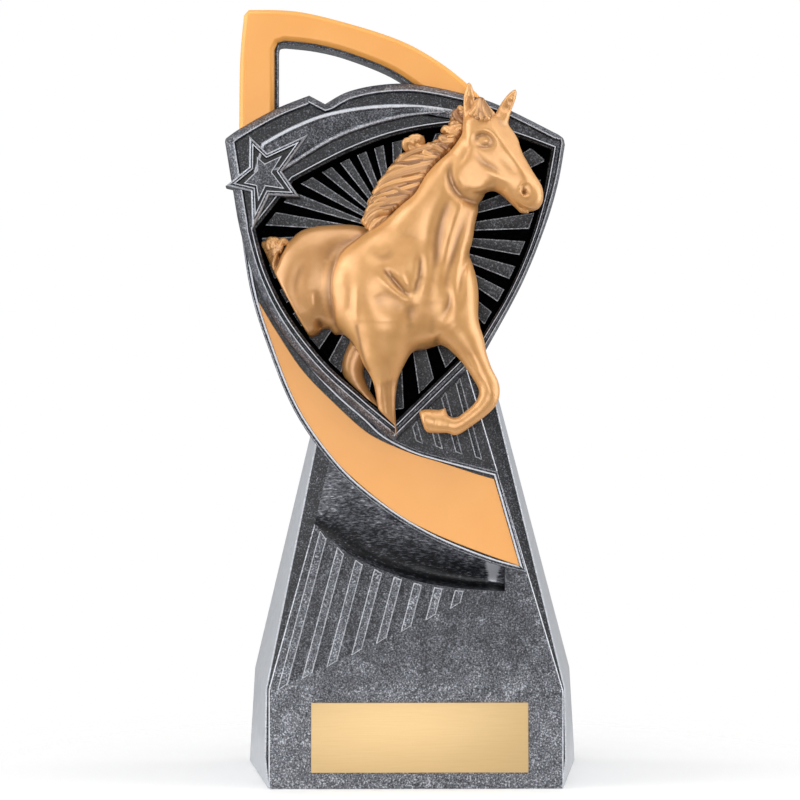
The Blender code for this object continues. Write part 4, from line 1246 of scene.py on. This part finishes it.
leg_strokes = [([(-7.7, 112), (-7.4, 106.3), (-6.9, 96)], 0.35, 0.3), ([(-9, 112), (-9.2, 103)], 0.5, -0.25),
               ([(4.2, 101.5), (5.2, 98), (4.6, 95)], 0.3, 0.25), ([(8, 101), (9.3, 98.4)], 0.5, -0.4),
               ([(18.2, 108.5), (20.5, 104.5)], 0.8, -0.3), ([(13.5, 116), (16, 111.5)], 0.5, 0.3)]
press(near, leg_strokes)

# %% [markdown]
# The head is cut by two planes, one along the bridge of the nose and one along the cheek. The strokes are
# the brow, the eye and its lids, the cheek bone, the mouth and the nostril, all at their places in the photo.

# %% Head and ears
head = new_clay()
limb(head, [(17.5, 176, 11, 6.2), (20.6, 170.6, 11.5, 8), (23.6, 166, 11.7, 7.4), (26.6, 161.8, 11.8, 6.4),
            (29.6, 157.8, 11.8, 5.2)], 0.8)
ball(head, (30, 157.2, 11.8), (4.8, 5.2, 4.2), 1.5)
ball(head, (15.8, 163.4, 10.9), (6.2, 6.6, 6.3), 2)
head_outline = outline(
    [(12.4, 177.6), (14, 179.2), (17, 179.6), (20.5, 179.7), (24.2, 178.5), (27.3, 173.8), (27.9, 171),
     (28.9, 168.3), (31.3, 164.2), (33.3, 161.5), (34, 159.2), (33.8, 156), (32.3, 153.6), (30.3, 152.7),
     (28.9, 152.6), (27.2, 153.3), (24.1, 156), (22.1, 157.4), (19.4, 157.9), (17.6, 157.5), (15.7, 157.6),
     (14, 157.9), (12, 159.4), (10.5, 161.8), (10.4, 164.7), (11.2, 168.5), (11.9, 172.5), (12.4, 177.6)])
head = common(head, side_of(head_outline), 2.2)
spans, x, y, z = window(GRID_LOW - 1, GRID_HIGH + 1)
FACE_EDGE = (24.6, 168.6, 17.0)
BRIDGE_FACING = (0.63, 0.44, 0.64)
CHEEK_FACING = (-0.13, -0.05, 0.99)


def plane_of(through, facing):
    """A half space of clay behind a plane."""
    return sum((axis - at) * share for axis, at, share in zip((x, y, z), through, facing)).astype(np.float32)


def oval(middle, across, up, count):
    """Points round an oval that stays a little open."""
    return [(middle[0] + across * math.cos(a), middle[1] + up * math.sin(a))
            for a in np.linspace(0.3, 6.1, count)]


head = common(head, plane_of(FACE_EDGE, BRIDGE_FACING), 0.7)
head = common(head, plane_of(FACE_EDGE, CHEEK_FACING), 1.0)
NOSTRIL = (29.0, 158.9)
head_strokes = [
    ([(14.6, 173.6), (17.8, 172), (21.4, 170.6)], 1.9, 0.6),
    ([(16.6, 172.2), (18.2, 172), (19.4, 171.6)], 0.8, -0.5),
    ([(15.6, 172.2), (17.2, 173.6), (19, 173.4), (20.6, 171.8)], 0.4, 0.45),
    ([(15, 174.2), (17.2, 175), (19.6, 174.2), (21.6, 172.2)], 0.8, -0.35),
    ([(16, 171), (17.8, 170.3), (19.8, 170.7)], 0.4, 0.4),
    ([(15.2, 170.4), (17.2, 166.8), (20.1, 164.8), (24, 161.9)], 0.9, 0.3),
    ([(17.8, 164.4), (21.2, 162.6), (25.2, 160)], 1.0, -0.25),
    ([(22.2, 168.4), (24.8, 165.4), (26.6, 162.6)], 1.4, 0.35),
    ([(20.2, 160.9), (22.6, 159.9), (24.2, 159.4)], 1.4, 0.45),
    ([(25.2, 157.2), (27.3, 155), (29.9, 153.7), (32.6, 153.9)], 0.36, 0.65),
    ([(24.6, 158), (26.2, 156.2), (27.6, 155.7)], 0.7, -0.35),
    ([(24.2, 156.3), (26.7, 153.7), (28.9, 152.8)], 0.4, -0.4),
    ([(28.2, 158.6), (29.1, 158.1)], 0.6, 1.3),
    (oval(NOSTRIL, 1.55, 1.9, 14), 0.4, -0.55),
    (oval(NOSTRIL, 0.95, 1.3, 12), 0.36, 0.35)]
press(head, head_strokes)
JOWL = (15.2, 163.2)
JOWL_RADIUS = 5.0
JOWL_STEP = 0.9
JOWL_SOFTNESS = 0.25
from_jowl = FACE_POINTS - JOWL
jowl_gap = np.hypot(*from_jowl.T)
below = np.clip(-(from_jowl @ (0.7, 0.7)) / (jowl_gap + 1e-6) + 0.4, 0, 1)
step = JOWL_STEP * below / (1 + np.exp((JOWL_RADIUS - jowl_gap) / JOWL_SOFTNESS))
head += on_grid(step).astype(np.float32)
EARS = (
    ([(12.7, 177.5), (12.3, 183.3), (12.9, 186.1), (14, 188.3), (15.1, 187.4), (15.8, 185.4), (16.1, 182.7),
      (16.3, 177.5), (12.7, 177.5)],
     (14.6, 177, 10.5, 2.9), (14.1, 189, 10.5, 1.4), [(14.3, 184.5), (14.6, 179.5)]),
    ([(20.2, 177.5), (21.9, 181.5), (22.9, 183.5), (24.6, 185.3), (26.5, 186.4), (27, 185.4), (26.6, 183),
      (25.6, 180.4), (24.4, 177), (20.2, 177.5)],
     (21.8, 177, 10.5, 2.9), (27, 187, 10.5, 1.6), [(25.2, 183.8), (23.4, 180)]))
for ear_outline, base, tip, hollow in EARS:
    ear = new_clay()
    limb(ear, [base, tip], 0.8)
    ear = common(ear, side_of(outline(ear_outline)), 1.4)
    press(ear, [(hollow, 0.9, 1.1)])
    head = melt(head, ear, 0.8)

# %% [markdown]
# ## The whole horse
# The clay of the mane is only a thin sheet, since its locks are laid on afterwards. Everything that would
# stick out over the lower left rim of the panel is cut off, as on the real one, where the body comes out
# of the sunk panel along that rim.

# %% The whole horse as a mesh
MANE_ROOT = [(13.1, 180.4), (12.8, 177), (11.1, 173.6), (8.3, 170.2), (5.3, 167.1), (2.9, 164), (-0.2, 158.8),
             (-3.6, 156.1), (-8, 153), (-12.8, 149.3)]
MANE_EDGE = [(12.8, 180), (12.1, 177), (10.3, 174), (7.5, 171.6), (4.9, 170.6), (1.8, 169.4), (-0.5, 168.3),
             (-2.9, 166.9), (-5.3, 164.2), (-7.7, 160.8), (-9.8, 157), (-11.3, 152.9), (-12.8, 149.3)]
mane_root = np.array(smooth_run(MANE_ROOT, 6, last=True))
mane_edge = np.array(smooth_run(MANE_EDGE, 6, last=True))
sheet_outline = np.concatenate([mane_root + (1.0, -0.6), mane_edge[::-1]])
ROOT_HEIGHT, EDGE_HEIGHT = 8.4, 4.2
SHEET_WIDTH = 8.5
SHEET_SINK = 1.6
SHEET_HALF = 1.8
gap = on_grid(np.minimum(distance_to(FACE_POINTS, mane_root, False) / SHEET_WIDTH, 1))
middle = ROOT_HEIGHT + gap * (EDGE_HEIGHT - ROOT_HEIGHT) - SHEET_SINK
mane = common(side_of(sheet_outline), (np.abs(z - middle) - SHEET_HALF).astype(np.float32), 1.0)
clay = melt(hind, near, 0.35)
clay = melt(clay, mane, 0.3)
clay = melt(clay, head, 0.5)
clip = outline(
    [(-41.4, 146.4), (-37.8, 138), (-28.5, 121.1), (-18.9, 109.8), (-9.5, 100.7), (-5.6, 96.9)],
    [(-5.6, 96.9), (-5, 84)], [(-5, 84), (-60, 84)], [(-60, 84), (-60, 147.5)],
    [(-60, 147.5), (-41.4, 146.4)])
clay = common(clay, -side_of(clip), 0.3)
clay = np.maximum(clay, (PANEL_FLOOR - 0.4 - AXES[2])[None, None, :])


def front_of(field, px, py):
    """How high the front of the clay is above a place of the face."""
    i, j = (int(np.clip(round((v - low) / PITCH), 0, len(axis) - 1))
            for v, low, axis in zip((px, py), GRID_LOW, AXES))
    held = np.flatnonzero(field[i, j] < 0)
    return float(AXES[2][held[-1]]) if len(held) else 0.0


def surface_of(field):
    """The surface where the field is nought: one point in each grid cell that it crosses."""
    sign = field < 0
    corner = {}
    count = np.zeros([n - 1 for n in field.shape], np.int8)
    for i in (0, 1):
        for j in (0, 1):
            for k in (0, 1):
                part = tuple(slice(o, n - 1 + o) for o, n in zip((i, j, k), field.shape))
                count += sign[part]
                corner[i, j, k] = part
    cells = np.argwhere((count > 0) & (count < 8))
    number = np.full(count.shape, -1, np.int64)
    number[tuple(cells.T)] = np.arange(len(cells))
    total, crossings = np.zeros((len(cells), 3)), np.zeros(len(cells))
    for axis in range(3):
        step = np.eye(3, dtype=int)[axis]
        for base in np.ndindex(2, 2, 2):
            if base[axis] == 0:
                a = field[tuple((cells + base).T)]
                b = field[tuple((cells + base + step).T)]
                crossed = (a < 0) != (b < 0)
                share = np.where(crossed, a / np.where(crossed, a - b, 1), 0)
                total += crossed[:, None] * (np.array(base) + share[:, None] * step)
                crossings += crossed
    places = GRID_LOW + (cells + total / crossings[:, None]) * PITCH
    faces = []
    for axis in range(3):
        step = np.eye(3, dtype=int)[axis]
        one, two = np.eye(3, dtype=int)[(axis + 1) % 3], np.eye(3, dtype=int)[(axis + 2) % 3]
        ahead = tuple(slice(1, None) if n == axis else slice(None) for n in range(3))
        behind = tuple(slice(None, -1) if n == axis else slice(None) for n in range(3))
        edges = np.argwhere(sign[ahead] != sign[behind])
        outward = sign[tuple(edges.T)]
        quad = np.stack([number[tuple((edges - shift).T)] for shift in (0 * step, one, one + two, two)], 1)
        quad[~outward] = quad[~outward][:, ::-1]
        faces.append(quad)
    return places, np.concatenate(faces)


def relaxed(places, faces, rounds, pull=0.5):
    """Evens the points out by moving each towards the middle of its neighbours."""
    ends = np.concatenate([faces, np.roll(faces, -1, 1)]).reshape(-1)
    others = np.concatenate([np.roll(faces, -1, 1), faces]).reshape(-1)
    weight = np.bincount(ends, minlength=len(places))[:, None]
    for _ in range(rounds):
        mean = np.stack([np.bincount(ends, places[others, i], len(places)) for i in range(3)], 1) / weight
        places = places + (mean - places) * pull
    return places


# Painted shade on the horse: the paint turns towards dark brown where the clay lies below a broadly smoothed
# copy of itself, in hollows and creases, and along the deep narrow strokes.
HOLLOW_SHADE = 5.0
MOST_SHADE = 0.6
LINE_SHADE = 0.55
LINE_HALF = 0.45
DEEP_STROKE = 0.7
NARROW_STROKE = 0.8
SMOOTHING = 3
BROAD_SMOOTHING = 50
places, faces = surface_of(clay)
places = relaxed(places, faces, SMOOTHING)
broad = relaxed(places, faces, BROAD_SMOOTHING)
hollow = np.clip((broad - places)[:, 2] * HOLLOW_SHADE, 0, MOST_SHADE)
horse_shade = relaxed(hollow[:, None] * (1, 1, 1), faces, 2)[:, 0]
# Painted shade: the hindquarters behind the near body and below the top of the croup are darker.
HIND_SHADE = 0.28
CROUP_TOP = 151.5
last_cell = [len(axis) - 1 for axis in AXES[:2]]
cell = np.clip(np.rint((places - GRID_LOW) / PITCH).astype(int)[:, :2], 0, last_cell)
behind = np.clip(side_of(near_outline)[cell[:, 0], cell[:, 1], 0], 0, 1)
horse_shade += HIND_SHADE * behind * (places[:, 0] < 0) * (places[:, 1] < CROUP_TOP)
for points, half_width, amount in hind_strokes + near_strokes + head_strokes + leg_strokes:
    if amount > DEEP_STROKE and half_width < NARROW_STROKE:
        line = np.array(smooth_run(points, 4, last=True))
        gap = distance_to(places[:, :2], line, False)
        horse_shade = np.maximum(horse_shade, LINE_SHADE * np.exp(-(gap / LINE_HALF) ** 2))
horse = finished_mesh("horse", places, faces, horse_paint, {"painted_shade_and_tone": horse_shade}, close=False)
cast(horse)

# %% [markdown]
# ## Hair
# The mane, the forelock and the wisps of the tail are locks of modelled hair, about three hundred and fifty
# in all. Each is drawn here as a bent line with a thickness and a darkness at every point, from a fixed
# seed: the darkness is a tone that varies from lock to lock, with painted shade added at the root, where
# the lock meets the neck. The tree then makes a tapered round tube of every line.

# %% Lines of the locks
rng = np.random.default_rng(11)
LOCK_POINTS = 14
MANE_LOCKS = 250
LOOSE_LOCKS = 46
TAIL_WISPS = 22
locks = []


def bent(start, first, second, end):
    """Points of a smooth bow from start to end that is pulled towards the two places between them."""
    t = np.linspace(0, 1, LOCK_POINTS)[:, None]
    start, first, second, end = (np.array(place, float) for place in (start, first, second, end))
    return ((1 - t) ** 3 * start + 3 * t * (1 - t) ** 2 * first + 3 * t * t * (1 - t) * second + t ** 3 * end)


def lock(line, low, high, thick, dark):
    """Keeps a lock: a line on the face, its height at both ends, its thickness and its darkness, a tone of
    its own with painted shade added at the root.
    """
    t = np.linspace(0, 1, LOCK_POINTS)
    swing = rng.normal(0, 0.18) * np.sin(t * rng.uniform(5, 9) + rng.uniform(0, 6)) * t
    height = low + (high - low) * t + 0.35 * np.sin(np.pi * t)
    points = np.column_stack([line[:, 0] + swing, line[:, 1] - swing, height])
    width = thick * np.interp(t, (0, 0.15, 0.6, 1), (0.7, 1, 0.85, 0.18))
    # Painted shade at the root, where the lock meets the neck; slightly lighter towards the tip.
    painted_shade_and_tone = np.clip(dark + np.interp(t, (0, 0.12, 0.8, 1), (0.5, 0, 0, -0.15)), 0, 0.9)
    locks.append((points, width, painted_shade_and_tone))


def along_line(line, share):
    """The place at a share of the way along a line of points, and the way it runs there."""
    at = min(max(share, 0), 0.999) * (len(line) - 1)
    number = int(at)
    step = line[number + 1] - line[number]
    return line[number] + (at - number) * step, step / np.linalg.norm(step)


for share in np.linspace(0.12, 0.86, MANE_LOCKS):
    root, down = along_line(mane_root, share + rng.normal(0, 0.006))
    edge, edge_down = along_line(mane_edge, min(share + rng.uniform(0.1, 0.34), rng.uniform(0.96, 0.999)))
    reach = np.linalg.norm(edge - root)
    out = np.array((down[1], -down[0]))
    out *= np.sign(out @ (-1.0, 0.6))
    end = edge + out * rng.choice((0.2, 0.6, 1.0, 1.7)) + edge_down * rng.uniform(-0.9, 0.4)
    top = rng.uniform(-0.3, 0.6)
    first = root + down * reach * 0.3 + out * 0.2 * reach
    second = end - edge_down * reach * 0.35 - out * 0.4
    lock(bent(root + out * 0.1, first, second, end), ROOT_HEIGHT + top, EDGE_HEIGHT + 1.2 + top,
         rng.uniform(0.13, 0.27), rng.choice((0.0, 0.2, 0.45, 0.85)))
for share in np.linspace(0.0, 0.4, LOOSE_LOCKS):
    root, down = along_line(mane_root, share)
    turn = rng.uniform(-0.9, 0.8)
    out = np.array((-math.cos(turn), math.sin(turn)))
    side = np.array((-out[1], out[0])) * rng.choice((-1, 1))
    reach = rng.uniform(1.6, 5.2) * np.interp(share, (0, 0.15), (0.55, 1))
    end = root + out * reach * 0.8 + side * rng.uniform(0.4, 1.8)
    low, high = ROOT_HEIGHT + rng.uniform(-0.5, 0.8), EDGE_HEIGHT + rng.uniform(1.5, 4)
    lock(bent(root, root + out * reach * 0.6, root + out * reach + side * 0.2, end), low, high,
         rng.uniform(0.1, 0.17), rng.choice((0.0, 0.1, 0.4, 0.8)))
for rise in np.linspace(-1.0, 1.0, 6):
    first = (3.2 + rng.uniform(-0.5, 0.5), 168.9 + rise)
    second = (-0.8 + rng.uniform(-0.8, 0.8), 169.6 + 1.4 * rise)
    tip = (-1.0 + rng.uniform(-0.9, 1.4), 172.8 + 0.8 * rise + rng.uniform(-0.6, 0.6))
    lock(bent((6.0 + rise, 170.6 + 0.5 * rise), first, second, tip), ROOT_HEIGHT - 1.4, EDGE_HEIGHT + 1.8,
         0.1, rng.choice((0.0, 0.2, 0.5)))
for number in range(6):
    start = np.array((-1.6 + 0.5 * number, 171.4 + rng.uniform(-0.8, 0.6)))
    side = rng.choice((-1, 1)) * rng.uniform(1.2, 2.4)
    lock(bent(start, start + (side, 0.9), start + (0.4 * side, 3.0), start + (-0.7 * side, 1.5)),
         EDGE_HEIGHT + 1.4, EDGE_HEIGHT + 2.4, 0.07, rng.choice((0.0, 0.2)))
FORELOCK = 13
for number in range(FORELOCK):
    spread = 2 * number / (FORELOCK - 1) - 1
    start = (17.1 + 0.5 * spread, 183.4 - 0.5 * abs(spread))
    end_x, end_y = 17.6 + 2.9 * spread, 177.5 + 1.0 * spread ** 2 + rng.uniform(-0.6, 0.5)
    line = bent(start, (start[0] + 0.3 * spread, 181.6), (17.4 + 1.6 * spread, end_y + 1.8), (end_x, end_y))
    lock(line, 12.6, front_of(head, end_x, end_y) + 0.05, 0.34, (0.1, 0.6, 0.3, 0.7)[number % 4])
for number in range(TAIL_WISPS):
    start = np.array((-35.4 - 0.1 * number, 144.8 - 0.2 * (number % 5)))
    end = np.array((-40.8 + 0.17 * number, 145.6 - 0.34 * number))
    lock(bent(start, start + (-1.5, 0.2), end + (1.2, 0.4), end), 2.7, 1.8, 0.17,
         (0.0, 0.3, 0.1, 0.5)[number % 4])
for start, first, second, end in (((-38.4, 144.4), (-38.6, 146), (-37.6, 147.6), (-37, 146.2)),
                                  ((-37.8, 144.4), (-37.4, 146), (-38.8, 147.6), (-39.2, 146.2)),
                                  ((-36.8, 144.6), (-36, 146), (-35.2, 147), (-34.8, 146)),
                                  ((-39, 144.2), (-39.8, 145.4), (-39.4, 146.6), (-38.8, 146))):
    lock(bent(start, first, second, end), 2.6, 2.2, 0.17, 0.0)
print(len(locks), "locks")

# %% [markdown]
# The tree of the locks: the edges become curves, each point takes its own radius, and a circle runs along.

# %% Locks as tubes
hair_tree, start = new_tree("hair_locks", {"Sides": ("Int", 8), "Finish": ("Material", None)})
curves = add_node(hair_tree, "GeometryNodeMeshToCurve", {"Mesh": start.outputs["Geometry"]}).outputs[0]
radii = add_node(hair_tree, "GeometryNodeSetCurveRadius",
                 {"Curve": curves, "Radius": named(hair_tree, "thick")}).outputs[0]
circle = add_node(hair_tree, "GeometryNodeCurvePrimitiveCircle",
                  {"Resolution": start.outputs["Sides"], "Radius": 1.0}).outputs[0]
tubes = add_node(hair_tree, "GeometryNodeCurveToMesh",
                 {"Curve": radii, "Profile Curve": circle, "Fill Caps": True}).outputs[0]
real = add_node(hair_tree, "GeometryNodeRealizeInstances", {"Geometry": tubes}).outputs[0]
end_tree(hair_tree, start, real)

places = np.concatenate([points for points, width, painted_shade_and_tone in locks])
edges = [(i, i + 1) for i in range(len(places) - 1) if (i + 1) % LOCK_POINTS]
mesh = bpy.data.meshes.new("hair")
mesh.from_pydata(places.tolist(), edges, [])
for key, column in (("thick", 1), ("painted_shade_and_tone", 2)):
    values = np.concatenate([drawn_lock[column] for drawn_lock in locks]).astype(np.float32)
    mesh.attributes.new(key, "FLOAT", "POINT").data.foreach_set("value", values)
mesh.materials.append(horse_paint)
hair = placed("hair", mesh)
made_by(hair_tree, hair, {"Finish": horse_paint})
hair.data.set_sharp_from_angle(angle=math.pi)
cast(hair)

# %% [markdown]
# ## Engraving plate
# A thin plate of gold-coloured aluminium, stuck on the foot. Its front edge is a little rounded where the
# sheet was sheared, which is all that tells it from a painted patch. It stays bare.

# %% Engraving plate
PLATE_LOW, PLATE_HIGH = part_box("engraving_plate")
PLATE_WIDTH, PLATE_HEIGHT = 58.3, 18.7
PLATE_X, PLATE_FOOT = 1.1, 4.4
PLATE_SIZE = np.array((PLATE_WIDTH, PLATE_HEIGHT)) / 1000 / UNIT
PLATE_MIDDLE = np.array((PLATE_X, PLATE_FOOT + PLATE_HEIGHT / 2)) / 1000 / UNIT
half = PLATE_SIZE / 2
CORNER = 0.25
corners = []
for sx, sy, first in ((1, -1, -90), (1, 1, 0), (-1, 1, 90), (-1, -1, 180)):
    for angle in np.radians(np.linspace(first, first + 90, 4)):
        turned = np.array((math.cos(angle), math.sin(angle)))
        corners.append(PLATE_MIDDLE + (half - CORNER) * (sx, sy) + CORNER * turned)
plate_rings = rings_of(np.array(corners), [(0, 0.3, 0), (0, 0.78, 0), (0.05, 0.87, 0), (0.12, 0.896, 0)])
count = len(corners)
faces = walls(plate_rings) + [tuple(range(count - 1, -1, -1)), tuple(range(3 * count, 4 * count))]
plate = finished_mesh("bare_plate", np.concatenate([ring for ring, _ in plate_rings]), faces, plate_finish)
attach(plate, "root")
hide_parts("engraving_plate")
print("plate", [[round(v * 1000, 2) for v in corner] for corner in (PLATE_LOW, PLATE_HIGH)])
